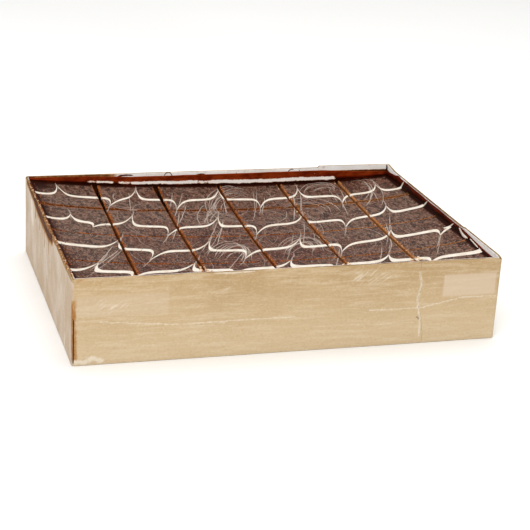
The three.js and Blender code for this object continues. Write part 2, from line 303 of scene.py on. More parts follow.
class Graph:
    """A material's nodes, with one short call for each kind."""

    def __init__(self, name, **own):
        self.material = bpy.data.materials.new(name)
        self.material.use_nodes = True
        self.tree = self.material.node_tree
        self.shader = self.tree.nodes["Principled BSDF"]
        self.place = self.node("ShaderNodeTexCoord").outputs["Object"]
        for key, value in own.items():
            self.shader.inputs[key.replace("_", " ")].default_value = value

    def tint(self, code):
        self.shader.inputs["Specular Tint"].default_value = linear(code)

    def node(self, kind, inputs=None, **settings):
        made = self.tree.nodes.new(kind)
        for key, value in settings.items():
            setattr(made, key, value)
        for key, value in (inputs or {}).items():
            if isinstance(value, bpy.types.NodeSocket):
                self.tree.links.new(value, made.inputs[key])
            else:
                made.inputs[key].default_value = value
        return made

    def value(self, name):
        return self.node("ShaderNodeAttribute", attribute_name=name).outputs["Fac"]

    def noise(self, size, detail=3.0, rough=0.55, stretch=(1, 1, 1), warp=0.0, turn=0.0):
        scale = tuple(1 / (size * MM * s) for s in stretch)
        turned = self.node("ShaderNodeMapping", {"Vector": self.place, "Rotation": (0, turn, 0)})
        scaled = self.node("ShaderNodeMapping", {"Vector": turned.outputs[0], "Scale": scale})
        return self.node("ShaderNodeTexNoise", {
            "Vector": scaled.outputs[0], "Scale": 1.0, "Detail": detail, "Roughness": rough,
            "Distortion": warp}).outputs["Fac"]

    def math(self, operation, a, b=0.0, c=0.0):
        return self.node("ShaderNodeMath", {0: a, 1: b, 2: c}, operation=operation).outputs[0]

    def ramp(self, value, low, high, to_low=0.0, to_high=1.0):
        return self.node("ShaderNodeMapRange", {
            "Value": value, "From Min": low, "From Max": high, "To Min": to_low,
            "To Max": to_high}, interpolation_type="SMOOTHSTEP").outputs[0]

    def mix(self, share, a, b, blend="MIX"):
        a, b = (linear(v) if isinstance(v, str) else v for v in (a, b))
        made = self.node("ShaderNodeMix", {0: share, 6: a, 7: b}, data_type="RGBA",
                         blend_type=blend)
        return made.outputs[2]

    def frayed(self, value, source, amount):
        """A value made uneven by noise, by up to half the amount each way."""
        return self.math("ADD", value, self.math("MULTIPLY_ADD", source, amount, -amount / 2))

    def toward(self, color, other, source, low, high, most=1.0):
        """A colour that turns to another where the source is high."""
        return self.mix(self.ramp(source, low, high, 0.0, most), color, other)

    def finish(self, color, roughness, height, depth, strength=0.6):
        links = self.tree.links
        links.new(color, self.shader.inputs["Base Color"])
        links.new(roughness, self.shader.inputs["Roughness"])
        bump = self.node("ShaderNodeBump", {
            "Height": height, "Distance": depth * MM, "Strength": strength})
        links.new(bump.outputs[0], self.shader.inputs["Normal"])
        return self.material


def cake_material():
    """Dark glaze on top, with crumbly cut lips and paler mousse lower down."""
    g = Graph("cake_surface", Specular_IOR_Level=0.1)
    g.tint("e8b8a0")
    patch = g.noise(30, 3, 0.6)
    mottle = g.noise(4.2, 5, 0.68, (1.1, 1.7, 1), 0.25)
    speckle = g.noise(1.5, 3, 0.65, (1.1, 1.9, 1))
    streak = g.noise(8, 3, 0.6, (2.4, 0.6, 1), 0.6)
    grain = g.noise(0.9, 3, 0.6)
    red = g.frayed(g.value("red"), patch, 1.1)
    dark = g.mix(g.ramp(red, 0.0, 1.0), "281610", "260b05")
    # The pale grey-brown tone is partly the glaze's own colour and partly a painted sheen of the gloss
    # reflecting the bright room; less red places show more of it.
    light = g.mix(g.ramp(red, 0.0, 1.0), "785c4d", "663a2a")
    share = g.math("MULTIPLY_ADD", mottle, 0.62, g.math("MULTIPLY", speckle, 0.38))
    glaze = g.mix(g.ramp(share, 0.41, 0.58), dark, light)
    # Painted highlight: pale grey flecks on the speckle stand for glints on the glossy glaze.
    glaze = g.toward(glaze, "9a8172", speckle, 0.56, 0.64, 0.7)
    glaze = g.toward(glaze, "3a1a10", streak, 0.54, 0.68, 0.55)
    shade = g.math("MULTIPLY", g.value("shade"), g.math("MULTIPLY_ADD", patch, 1.6, 0.3))
    glaze = g.toward(glaze, "240a05", shade, 0.1, 0.9)
    tan = g.value("tan")
    crumb = g.mix(g.ramp(g.noise(2.0, 4, 0.7), 0.38, 0.6), "4e1f0c", "a65d29")
    crumb = g.mix(g.math("MULTIPLY", tan, g.ramp(grain, 0.4, 0.6)), crumb, "b27e50")
    mousse = g.mix(g.ramp(g.noise(2.4, 4, 0.65), 0.35, 0.7), "5c2c15", "9c6236")
    side = g.frayed(g.value("depth"), g.noise(2.2, 3), 2.2)
    mousse = g.mix(tan, mousse, "8c5a34")
    crumb = g.toward(crumb, mousse, side, 2.0, 4.5)
    # Painted shade: cut faces go black deep in the cuts, where the first cuts gape and along the first
    # left-to-right cut.
    crumb = g.mix(g.value("pit"), crumb, "1c0803")
    crumb = g.toward(crumb, "d29a62", g.noise(1.3, 2, 0.6), 0.6, 0.7, 0.8)
    lip = g.frayed(g.value("lip"), g.noise(3.4, 5, 0.75), 2.2)
    color = g.mix(g.ramp(lip, 0.42, 0.58), glaze, crumb)
    rough = g.math("MULTIPLY_ADD", mottle, 0.25, 0.35)
    rough = g.math("MULTIPLY_ADD", shade, 0.35, rough)
    rough = g.math("ADD", g.ramp(lip, 0.42, 0.62, 0.0, 0.3), rough)
    height = g.math("ADD", g.math("MULTIPLY", mottle, 0.5), g.math("MULTIPLY", speckle, 0.4))
    height = g.math("ADD", height, g.math("MULTIPLY", g.ramp(lip, 0.4, 0.7), grain))
    return g.finish(color, rough, height, 0.45, 0.7)


def icing_material():
    """Cream icing, browner where it thins out into the glaze."""
    g = Graph("feathered_icing", Specular_IOR_Level=0.25)
    stain = g.frayed(g.value("across"), g.noise(2.0, 3), 0.5)
    color = g.mix(g.ramp(g.noise(7, 3), 0.35, 0.7), "e6ddd0", "d6c9b6")
    color = g.toward(color, "86685a", stain, 0.8, 1.25)
    rough = g.math("MULTIPLY_ADD", g.noise(3), 0.2, 0.38)
    return g.finish(color, rough, g.noise(1.4, 3), 0.2, 0.35)


def thread_material():
    """Glaze with a little icing combed through it."""
    g = Graph("combed_threads", Specular_IOR_Level=0.16)
    broken = g.math("MULTIPLY", g.value("milk"), g.ramp(g.noise(6, 3, 0.7), 0.25, 0.5, 0.45, 1.0))
    color = g.mix(broken, "4a3026", "c9b9ac")
    return g.finish(color, g.math("MULTIPLY_ADD", g.noise(2), 0.2, 0.4), g.noise(1.2), 0.15, 0.4)


def coat_material():
    """Glaze on the walls: thin and red near its top edge, nearly black at its foot, with a painted
    highlight low on the back wall.
    """
    g = Graph("wall_coat", Specular_IOR_Level=0.05)
    g.tint("d88a60")
    wash = g.noise(8, 4, 0.65, (2.4, 2.4, 1))
    thin = g.frayed(g.value("thin"), wash, 1.6)
    color = g.mix(g.ramp(thin, 0.05, 0.6), "200702", "5c1805")
    color = g.toward(color, "86300f", thin, 0.75, 1.15)
    rimmed = g.frayed(g.value("rimmed"), g.noise(3, 4, 0.7), 0.9)
    color = g.toward(color, "9c4a22", rimmed, 0.5, 0.95)
    # Painted highlight: a white strip low on the back wall's coat, with an orange and cream fringe,
    # stands for the glint along the glossy foot of the glaze.
    bare = g.frayed(g.value("bare"), g.noise(3.2, 5, 0.75, (1.9, 1.9, 1)), 1.5)
    highlight_fringe = g.mix(g.ramp(g.noise(1.2, 3), 0.4, 0.6), "a85c34", "e9cbb0")
    board = g.mix(g.ramp(bare, 0.44, 0.58), highlight_fringe, "fbf5ee")
    color = g.toward(color, board, bare, 0.24, 0.4)
    rough = g.math("MULTIPLY_ADD", wash, 0.25, 0.36)
    rough = g.math("ADD", g.ramp(bare, 0.35, 0.55, 0.0, 0.3), rough)
    return g.finish(color, rough, g.noise(4, 3), 0.4, 0.35)


def board_material():
    """Kraft liner outside and white liner inside, with the flutes' brown between them."""
    g = Graph("card_board", Specular_IOR_Level=0.06)
    fibre = g.noise(3.0, 4, 0.65, (11, 11, 1))
    cloud = g.noise(46, 3, 0.6)
    speck = g.noise(1.5, 3, 0.7, (1.4, 1.4, 1))
    kraft = g.mix(g.ramp(cloud, 0.3, 0.7), "ac8d62", "ba9d74")
    kraft = g.mix(g.value("low"), kraft, "cbb593")
    kraft = g.toward(kraft, "d9c8ac", fibre, 0.44, 0.66, 0.36)
    kraft = g.toward(kraft, "9a7c50", speck, 0.54, 0.7, 0.24)
    kraft = g.toward(kraft, "d9c8ab", speck, 0.46, 0.32, 0.3)
    # Painted sheen: the left wall's kraft turns paler and greyer, in soft vertical streaks, for the
    # gloss on that face.
    grey = g.mix(g.ramp(g.noise(26, 4, 0.6, (1, 1, 1.7)), 0.36, 0.66), "bfab96", "d2c5b9")
    grey = g.toward(grey, "a48c72", speck, 0.5, 0.7, 0.3)
    kraft = g.mix(g.value("film"), kraft, grey)
    white = g.mix(g.ramp(g.noise(20, 3), 0.3, 0.7), "fdfcfa", "f3f0ea")
    white = g.toward(white, "c9a488", g.noise(2.2, 3, 0.7), 0.66, 0.78, 0.5)
    color = g.mix(g.value("inside"), kraft, white)
    core = g.frayed(g.value("core"), g.noise(2.5, 3), 0.6)
    color = g.toward(color, g.mix(g.ramp(fibre, 0.4, 0.6), "8b6a45", "c9ab7c"), core, 0.3, 0.7)
    color = g.mix(g.value("pale"), color, "d3bfa8")
    comb = g.noise(1.6, 3, 0.6, (7, 7, 1), 0.3, turn=0.62)
    fan = g.frayed(g.value("fan"), comb, 2.0)
    color = g.toward(color, "e2d6c2", fan, 0.4, 1.0, 0.7)
    wear = g.frayed(g.value("scuff"), g.noise(2.6, 4, 0.7), 0.9)
    color = g.toward(color, "e2d7c5", wear, 0.3, 0.8, 0.75)
    stain = g.frayed(g.value("stain"), g.noise(4, 5, 0.75, (1, 1, 2.2)), 1.3)
    soak = g.mix(g.ramp(stain, 0.55, 1.15), "ab7a45", "4a2410")
    color = g.toward(color, soak, stain, 0.2, 0.75)
    color = g.toward(color, "5d4529", g.value("line"), 0.2, 1.0, 0.75)
    color = g.toward(color, "22100a", g.value("gap"), 0.3, 0.8)
    rough = g.math("MULTIPLY_ADD", fibre, 0.2, 0.62)
    height = g.math("ADD", g.math("MULTIPLY", fibre, 0.4), g.math("MULTIPLY", speck, 0.4))
    return g.finish(color, rough, height, 0.3, 0.6)


def crumb_material():
    """Crumbs from dark cake to pale sponge."""
    g = Graph("loose_crumbs", Specular_IOR_Level=0.2)
    tone = g.frayed(g.value("tone"), g.noise(0.8, 3), 0.5)
    color = g.mix(g.ramp(tone, 0.0, 0.5), "3a190c", "a4602e")
    color = g.toward(color, "ecd3ae", tone, 0.55, 1.0)
    return g.finish(color, g.math("MULTIPLY_ADD", g.noise(1), 0.2, 0.6), g.noise(0.5), 0.2, 0.6)


def floor_material():
    """A plain pale studio floor."""
    g = Graph("studio_floor", Specular_IOR_Level=0.2)
    color = g.mix(g.ramp(g.noise(900, 2), 0.3, 0.7), "fbfbfa", "f6f6f5")
    return g.finish(color, g.math("MULTIPLY_ADD", g.noise(300), 0.1, 0.7), g.noise(40), 0.1, 0.05)


# ---- what lies on the glaze
GLAZE, ICED, THREAD = 0, 1, 2  # materials of a cut piece; on the walls' coat 1 is icing as well
SWIRLS = [  # middle x and y, half width and half depth, start and sweep in turns, how many threads
    (6, 96, 24, 48, 0.14, 0.62, 8),
    (-38, -66, 20, 50, 0.0, 0.45, 9),
    (34, -58, 24, 52, 0.02, 0.46, 9),
    (112, 120, 22, 24, 0.0, 0.5, 6),
    (150, 92, 20, 56, -0.12, 0.42, 5),
    (-92, 120, 34, 40, 0.5, 0.28, 4),
    (-22, 58, 12, 34, 0.32, 0.4, 6),
    (66, 40, 40, 60, 0.06, 0.3, 4),
]
TRAILS = [(-1, 22, 0.6), (1, 32, 0.5), (0.1, 27, 0.75)]  # side of the stroke, length, milk
LEAST_PULL = 15  # strokes that pull less leave no trails
STRANDS = dict(side=(-9, 9), length=(46, 105), count=4)  # long threads beside each full stroke
NICKS = dict(count=14, length=15, off=(6, 16), width=0.75, reach=0.85)  # dark threads on the icing
BLOB = dict(size=0.3, off=5.5, reach=3.6)  # the thicker icing to the right of a cusp
CUSP_STEPS = [  # sample distances from a cusp
    0, .1, .22, .36, .52, .7, .92, 1.2, 1.55, 1.95, 2.4, 3, 3.7, 4.6, 5.7, 7, 8.6, 10.6, 13, 16]
# The icing's cross-section: places across it, from -1 to 1, and the share of its full height there.
ACROSS = np.array([-1, -0.86, -0.6, 0, 0.6, 0.86, 1])
LIFT = np.array([-0.1, 0.55, 0.9, 1.0, 0.9, 0.55, -0.1])
HAIRS = dict(count=110, x=(-95, 110), y=(-92, 132), radius=(20, 60), sweep=(0.7, 2.0),
             width=(0.6, 1.1), milk=(0.3, 0.6), edge_x=185, edge_y=142)
THREAD_WIDTH = (1.2, 1.6)
LIFTS = dict(swirl=0.16, trail=0.14, hair=0.13, nick=0.6)  # how far threads stand above the glaze
ROOT = -0.6  # the icing's underside, buried in the glaze


def icing_line(shape, index):
    """One piped line, drawn to a cusp at each comb stroke, as a closed flat ribbon."""
    base, tilt, bow, width, _ = LINES[index]
    strokes = [s for s in STROKES if stroke_pull(s, LINES[index])]
    cusps = np.array([stroke_at(s, base) for s in strokes])
    near = [c + side * step for c in cusps for step in CUSP_STEPS for side in (-1, 1)]
    stops = np.unique(np.round([*np.arange(-HALF_X, HALF_X, 3.0), *near, HALF_X], 2))
    x = stops[np.abs(stops) <= HALF_X]
    x = x[np.concatenate([[True], np.diff(x) > 0.06])]
    y = base + tilt * x / DISH["span_x"] + bow * (x / DISH["span_x"]) ** 2
    y = y + 0.6 * noise(x, index * 31, size=26, seed=5)
    cx, cy, blob, tip = x.copy(), y.copy(), np.zeros(len(x)), np.zeros(len(x))
    for s in strokes:
        off = x - stroke_at(s, y)
        pull = stroke_pull(s, LINES[index])
        left, right = ICING["reach_back"] if pull > 0 else ICING["reach_front"]
        drag = pull * np.exp(-np.abs(off) / np.where(off < 0, left, right))
        cx += drag * stroke_lean(s, y + drag / 2)
        cy += drag
        tip = np.maximum(tip, np.exp(-np.abs(off) / 0.9))
        if pull > 0:
            blob += BLOB["size"] * np.exp(-((off - BLOB["off"]) / BLOB["reach"]) ** 2)
    lean = np.interp(x, cusps, [stroke_lean(s, base) for s in strokes])
    uneven = 0.15 * noise(x, index * 57, size=11, seed=9, octaves=2)
    half = width / 2 * (1.08 + blob + uneven - 0.3 * tip)
    across = np.concatenate([ACROSS, [0.8, -0.8]])
    lift = np.concatenate([LIFT * ICING["relief"], [ROOT, ROOT]])
    rows = len(across)
    off = across[:, None] * half
    points = np.stack([cx + off * lean, cy + off, np.broadcast_to(lift[:, None], off.shape)], -1)
    points = points.transpose(1, 0, 2).reshape(-1, 3)
    faces = grid_faces(len(x), rows, ring=True)[:, ::-1]
    edge = np.tile(np.abs(across), len(x)) + 0.75 * np.repeat(tip, rows)
    caps = [np.arange(rows)[None, :], (np.arange(rows)[::-1] + (len(x) - 1) * rows)[None, :]]
    shape.add(points, [faces, *caps], ICED, across=edge, milk=1.0)


def thread(shape, path, width, lift, kind, **values):
    """A fine tapering ridge along a smooth path, laid out flat."""
    path = smooth_path(path, 1.3)
    count = len(path)
    along = np.linspace(0, 1, count)
    path = path + 0.35 * np.stack([noise(path[:, 0], path[:, 1], size=7, seed=3),
                                   noise(path[:, 0], path[:, 1], size=7, seed=4)], 1)
    normal = normals(path)
    taper = np.clip(np.minimum(along, 1 - along) * 6, 0.15, 1)
    half = width / 2 * taper * (1 + 0.25 * noise(along * count, 0, size=5, seed=8))
    rows = []
    for side, height in ((1, -0.12), (0, lift), (-1, -0.12)):
        flat = path + side * normal * half[:, None]
        rows.append(np.column_stack([flat, height * np.ones(count)]))
    shape.strip(rows, kind, **values)


def hairs(shape, draw):
    """Fine curved threads that the comb left about the middle of the cake."""
    for _ in range(HAIRS["count"]):
        x, y = draw.uniform(*HAIRS["x"]), draw.uniform(*HAIRS["y"])
        radius, start = draw.uniform(*HAIRS["radius"]), draw.uniform(0, 2 * math.pi)
        turn = start + np.linspace(0, draw.uniform(*HAIRS["sweep"]), 6)
        path = np.column_stack([x + 0.7 * radius * np.cos(turn), y + radius * np.sin(turn)])
        path = path[(np.abs(path[:, 0]) < HAIRS["edge_x"]) & (np.abs(path[:, 1]) < HAIRS["edge_y"])]
        if len(path) > 2:
            thread(shape, path, draw.uniform(*HAIRS["width"]), LIFTS["hair"], THREAD,
                   milk=draw.uniform(*HAIRS["milk"]))


def swirls(shape, draw):
    """Nested curls of icing where the comb turned round."""
    for x, y, wide, deep, start, sweep, count in SWIRLS:
        for n in range(count):
            size = 1 - 0.6 * n / count + draw.uniform(-0.05, 0.05)
            turn = 2 * math.pi * (start + draw.uniform(-0.04, 0.04) + np.linspace(0, sweep, 7))
            drift = draw.uniform(-5, 5, 2)
            px = x + drift[0] + wide * size * np.cos(turn) + 0.3 * deep * np.sin(turn)
            path = np.column_stack([px, y + drift[1] + deep * size * np.sin(turn)])
            path = path[(np.abs(path[:, 0]) < CAKE_X - 6) & (np.abs(path[:, 1]) < CAKE_Y - 3)]
            if len(path) > 2:
                thread(shape, path, draw.uniform(*THREAD_WIDTH), LIFTS["swirl"], THREAD,
                       milk=draw.uniform(0.45, 0.75))


def strands(shape, draw):
    """Long threads of icing beside the strokes, between one line and the next."""
    for s in STROKES:
        if s[4] != NEVER:
            continue
        for _ in range(STRANDS["count"]):
            length = draw.uniform(*STRANDS["length"])
            y = draw.uniform(-CAKE_Y + 4, CAKE_Y - 4 - length) + length * np.linspace(0, 1, 6)
            off = draw.uniform(*STRANDS["side"]) + draw.uniform(-4, 4) * np.linspace(-1, 1, 6)
            x = stroke_at(s, y) + off
            if np.max(np.abs(x)) < CAKE_X - 6:
                thread(shape, np.column_stack([x, y]), draw.uniform(*THREAD_WIDTH), LIFTS["swirl"],
                       THREAD, milk=draw.uniform(0.45, 0.8))


def trails(shape):
    """The threads that each cusp leaves behind it along its stroke."""
    for s in STROKES:
        for line in LINES:
            pull = stroke_pull(s, line)
            for side, reach, milk in TRAILS:
                y = line[0] + pull * 0.6 + math.copysign(reach, pull) * np.linspace(0, 1, 5)
                y = y[np.abs(y) < CAKE_Y]
                if len(y) < 3 or abs(pull) < LEAST_PULL:
                    continue
                fade = np.linspace(1, -0.7, len(y))
                path = np.column_stack([stroke_at(s, y) + side * 1.6 * fade, y])
                thread(shape, path, 1.05, LIFTS["trail"], THREAD, milk=milk)


def nicks(shape, draw):
    """Short dark threads across the icing lines, dragged along the strokes."""
    for _ in range(NICKS["count"]):
        line = LINES[draw.integers(len(LINES))]
        s = STROKES[draw.integers(len(STROKES))]
        y = line[0] + NICKS["length"] * np.linspace(-0.5, 0.5, 3)
        x = stroke_at(s, y) + draw.uniform(*NICKS["off"]) * draw.choice([-1, 1])
        if np.max(np.abs(x)) < NICKS["reach"] * CAKE_X:
            thread(shape, np.column_stack([x, y]), NICKS["width"], LIFTS["nick"], THREAD, milk=0.18)


def toppings():
    """Icing, threads and nicks before they are cut; z is the lift above the glaze."""
    shape = Shape()
    for index in range(len(LINES)):
        icing_line(shape, index)
    swirls(shape, np.random.default_rng(5))
    strands(shape, np.random.default_rng(12))
    hairs(shape, np.random.default_rng(31))
    trails(shape)
    nicks(shape, np.random.default_rng(8))
    return shape.mesh("toppings", scale=1.0)


# ---- the cut pieces
CUT_ROUND, WALL_ROUND = 0.95, 0.3
CLOSE_STEPS = np.array([0, .25, .55, .95, 1.5, 2.4])  # sample distances inside a cut edge
TOP_SPACING = 1.9
BEVELS = (0.0, 0.3, 0.75, 1.3)  # where toppings are creased so that they bend over a cut edge
SKIRT = [0.5, 1.1, 1.8, 2.8, 4.2, 6.5, 10, 18, 34]
RAGGED = dict(fine=0.5, broad=0.25, reach=2.2, at_wall=0.3)  # how far a cut edge wanders, and how deep
UNEVEN = dict(broad=0.14, fine=0.05)  # how far the top itself goes up and down
COLUMN_LIPS = [(1.15, 2.2), (1.05, 1.2)]  # how torn each side of a front-to-back cut is, and how far
ROW_LIPS = [(1.4, 2.4), (0.86, 0.9), (0.8, 0.9)]  # how torn the left-to-right cuts are, and how far


class Piece:
    """One cut piece: its four edges, and how its top lies between them."""

    def __init__(self, row, column):
        self.row, self.column = row, column
        self.back = CAKE_Y if row == 0 else ROW_CUTS[row - 1] - ROW_KERF / 2
        self.front = -CAKE_Y if row == len(ROW_CUTS) else ROW_CUTS[row] + ROW_KERF / 2
        self.rounds = [WALL_ROUND if wall else CUT_ROUND for wall in (
            column == 0, column == len(COLUMN_CUTS), row == len(ROW_CUTS), row == 0)]
        self.seed = 40 + row * 7 + column

    def left(self, y):
        return -CAKE_X + 0 * y if self.column == 0 else column_edge(self.column - 1, 1, y)

    def right(self, y):
        full = self.column == len(COLUMN_CUTS)
        return CAKE_X + 0 * y if full else column_edge(self.column, -1, y)

    def edges(self, x, y):
        """Distance inside the left, right, front and back edge."""
        return [x - self.left(y), self.right(y) - x, y - self.front, self.back - y]

    def settle(self, x, y, lift=0.0):
        """Where a point of the flat top lies: inside ragged edges, on a top that rolls off."""
        gaps = self.edges(x, y)
        square, shift, lip = np.zeros(np.shape(x)), [], np.zeros(np.shape(x))
        for number, (gap, curve) in enumerate(zip(gaps, self.rounds)):
            along = y if number < 2 else x
            is_cut = curve == CUT_ROUND
            seed = self.seed + number
            rag = RAGGED["fine"] * np.abs(noise(along, 0, size=2.6, seed=seed, octaves=2))
            rag += RAGGED["broad"] * np.clip(noise(along, 9, size=14, seed=seed), 0, 1)
            rag = rag * np.clip(1 - gap / RAGGED["reach"], 0, 1)
            shift.append(rag * (1.0 if is_cut else RAGGED["at_wall"]))
            if is_cut:
                square = square + np.maximum(0, 1 - gap / curve) ** 2
                cut_row = self.row - (number == 3)
                strength, reach = COLUMN_LIPS[number] if number < 2 else ROW_LIPS[cut_row]
                strength = strength + 0.5 * noise(along, 4, size=12, seed=70 + cut_row, octaves=3)
                lip = np.maximum(lip, strength * np.exp(-np.maximum(gap, 0) / reach))
        drop = CUT_ROUND * (1 - np.sqrt(np.maximum(0, 1 - np.minimum(square, 1))))
        relief = UNEVEN["broad"] * noise(x, y, size=17, seed=2, octaves=2)
        relief += UNEVEN["fine"] * noise(x, y, size=4, seed=6)
        wall_off = np.minimum(CAKE_X - np.abs(x), CAKE_Y - np.abs(y))
        z = dish(x, y) + wall_rise(wall_off) + relief * np.clip(min_gap(gaps) / 3, 0.2, 1) - drop + lift
        return x + shift[0] - shift[1], y + shift[2] - shift[3], z, drop, lip


def min_gap(gaps):
    """Distance inside the nearest of a piece's four edges."""
    return np.minimum(np.minimum(gaps[0], gaps[1]), np.minimum(gaps[2], gaps[3]))


def edge_shares(length):
    """Shares of a length that lie close together near both ends."""
    inner = length - 2 * CLOSE_STEPS[-1]
    middle = CLOSE_STEPS[-1] + inner * np.linspace(0, 1, int(inner / TOP_SPACING) + 2)[1:-1]
    return np.concatenate([CLOSE_STEPS, middle, (length - CLOSE_STEPS)[::-1]]) / length


def tints(x, y):
    """How red the glaze is at a place, and how dark it is by the walls."""
    # Less red places take more of the grey-brown tone, which is partly a painted sheen.
    red = 0.42 + 0.5 * spot(x, y, -20, -62, 95, 62)
    red = red - 0.3 * spot(x, y, -165, 20, 45, 60)
    red = red + 0.25 * noise(x, y, size=40, seed=71)
    wall = np.minimum(CAKE_X - np.abs(x), CAKE_Y - np.abs(y)) - 2.6
    shade = np.exp(-np.maximum(wall, 0) / 1.3)
    shade = np.maximum(shade, 0.8 * spot(x, y, -196, 140, 30, 26))
    shade = np.maximum(shade, 0.8 * np.exp(-np.maximum(x + CAKE_X - 3, 0) / 5.0) * (x < 0))
    return red, shade


def cake_piece(row, column, flat):
    """A piece's mesh: a fine top, crumbly sides down to the base, and its share of icing."""
    this = Piece(row, column)
    shape = Shape()
    width = float(this.right(0.0) - this.left(0.0))
    s, t = edge_shares(width), edge_shares(this.back - this.front)
    y = this.front + (this.back - this.front) * t[:, None] + 0 * s[None, :]
    x = this.left(y) + (this.right(y) - this.left(y)) * s[None, :]
    px, py, pz, drop, lip = this.settle(x, y)
    red, shade = tints(x, y)
    rows, columns = x.shape
    top = np.stack([px, py, pz], -1).reshape(-1, 3)
    index = np.arange(rows * columns).reshape(rows, columns)
    loop = np.concatenate([index[0, :-1], index[:-1, -1], index[-1, :0:-1], index[:0:-1, 0]])
    into = np.zeros((rows * columns, 2))
    into[index[0], 1] += 1
    into[index[-1], 1] -= 1
    into[index[:, 0], 0] += 1
    into[index[:, -1], 0] -= 1
    into = into[loop]
    ring = top[loop]
    loops, depths = [], []
    for depth in [*SKIRT, None]:
        if depth is None:
            z = np.full(len(ring), CAKE_BASE)
            depth = ring[:, 2] - CAKE_BASE
        else:
            z = ring[:, 2] - depth
        rough = 0.12 + 0.34 * np.abs(noise(ring[:, 0], ring[:, 1], z, size=1.9, seed=91, octaves=2))
        rough = rough * np.clip(depth, 0, 1)
        loops.append(np.column_stack([ring[:, :2] + into * rough[:, None], z]))
        depths.append(np.broadcast_to(depth, len(ring)) + CUT_ROUND)
    count = len(ring)
    points = np.concatenate([top, *loops])
    first = np.stack([loop, rows * columns + np.arange(count)])
    nxt = np.roll(first, -1, axis=1)
    walls = [np.stack([first[0], first[1], nxt[1], nxt[0]], -1)]
    walls.append(grid_faces(len(loops), count, ring=True)[:, ::-1] + rows * columns)
    base = (rows * columns + (len(loops) - 1) * count + np.arange(count))[::-1][None, :]
    values = dict(
        depth=np.concatenate([drop.ravel(), *depths]),
        lip=np.concatenate([lip.ravel(), np.full(count * len(loops), 1.6)]),
        pit=np.concatenate([row_cut_shade(y).ravel(), *[cut_shade_of(d, into, ring) for d in depths]]),
        red=np.concatenate([red.ravel(), *[red.ravel()[loop]] * len(loops)]),
        shade=np.concatenate([shade.ravel(), *[shade.ravel()[loop]] * len(loops)]),
        tan=np.clip((points[:, 0] - 20) / 110, 0, 1),
    )
    shape.add(points, [grid_faces(rows, columns), *walls, base], GLAZE, **values)
    lay_toppings(shape, this, flat)
    return shape


def row_cut_shade(y):
    """Painted shade: the lips of the first left-to-right cut are darkened, for the shade in the narrow
    cut.
    """
    return 0.8 * np.exp(-((y - ROW_CUTS[0]) / 2.4) ** 2)


def cut_shade_of(depth, into, ring):
    """How black a cut face is painted for shade: where the first cuts gape at the back, and deep
    places.
    """
    gaping = 0.95 * np.clip((ring[:, 1] - ROW_CUTS[0] + 4) / 12, 0, 1) * (ring[:, 0] < -40)
    gaping = np.maximum(gaping, 0.7 * np.clip((-118 - ring[:, 1]) / 12, 0, 1) * (ring[:, 0] < -80))
    # Faces on a piece's right side, turned away from the key light, get a little painted shade too.
    turned = np.maximum(gaping, np.where(into[:, 0] < 0, 0.3, 0.0))
    return np.clip(turned + (depth - 3.5) / 9.0, 0, 1) * np.clip((depth - 0.9) / 0.8, 0, 1)


def lay_toppings(shape, this, flat):
    """Cuts the flat toppings to a piece's edges and lays them on its top."""
    bm = flat.copy()
    corners = []
    for yy in (this.front, this.back):
        corners.append([(float(this.left(yy)), yy), (float(this.right(yy)), yy)])
    (a, b), (d, c) = corners
    for start, end in ((a, b), (b, c), (c, d), (d, a)):
        along = Vector((end[0] - start[0], end[1] - start[1], 0)).normalized()
        out = Vector((along.y, -along.x, 0))
        for inset in BEVELS:
            everything = bm.verts[:] + bm.edges[:] + bm.faces[:]
            cut = bmesh.ops.bisect_plane(
                bm, geom=everything, dist=1e-5, plane_co=Vector((*start, 0)) - out * inset,
                plane_no=out, clear_outer=inset == 0.0)
            if inset == 0.0:
                edges = [e for e in cut["geom_cut"] if isinstance(e, bmesh.types.BMEdge)]
                bmesh.ops.holes_fill(bm, edges=edges, sides=0)
    if bm.verts:
        bm.verts.index_update()
        flat_points = np.array([v.co[:] for v in bm.verts])
        layers = {k: bm.verts.layers.float[k] for k in ("across", "milk")}
        values = {k: np.array([v[layer] for v in bm.verts]) for k, layer in layers.items()}
        px, py, pz, _, _ = this.settle(flat_points[:, 0], flat_points[:, 1], flat_points[:, 2])
        faces = {}
        for f in bm.faces:
            key = (f.material_index, len(f.verts))
            faces.setdefault(key, []).append([v.index for v in f.verts])
        start = shape.count
        shape.add(np.column_stack([px, py, pz]), [], **values)
        for (kind, _), group in sorted(faces.items()):
            shape.faces.append((np.array(group, np.int64) + start, kind))
    bm.free()


# ---- round the tray's walls
def stations(step_front, step_other, corner_steps=8):
    """Places round the tray's outline, counterclockwise from the front left corner."""
    sx, sy = HALF_X - CORNER, HALF_Y - CORNER
    rows = []

    def straight(side, start, end, normal, step):
        length = math.dist(start, end)
        count = max(2, round(length / step))
        for i in range(count + 1):
            x = start[0] + (end[0] - start[0]) * i / count
            y = start[1] + (end[1] - start[1]) * i / count
            rows.append((x, y, *normal, SIDES.index(side)))

    def bend(cx, cy, from_angle, first, second):
        for i in range(1, corner_steps):
            angle = from_angle + math.pi / 2 * i / corner_steps
            nx, ny = math.cos(angle), math.sin(angle)
            side = first if i * 2 <= corner_steps else second
            rows.append((cx + CORNER * nx, cy + CORNER * ny, nx, ny, SIDES.index(side)))

    straight("front", (-sx, -HALF_Y), (sx, -HALF_Y), (0, -1), step_front)
    bend(sx, -sy, -math.pi / 2, "front", "right")
    straight("right", (HALF_X, -sy), (HALF_X, sy), (1, 0), step_other)
    bend(sx, sy, 0, "right", "back")
    straight("back", (sx, HALF_Y), (-sx, HALF_Y), (0, 1), step_other)
    bend(-sx, sy, math.pi / 2, "back", "left")
    straight("left", (-HALF_X, sy), (-HALF_X, -sy), (-1, 0), step_front)
    bend(-sx, -sy, math.pi, "left", "front")
    x, y, nx, ny, side = np.array(rows).T
    return x, y, nx, ny, side.astype(int)


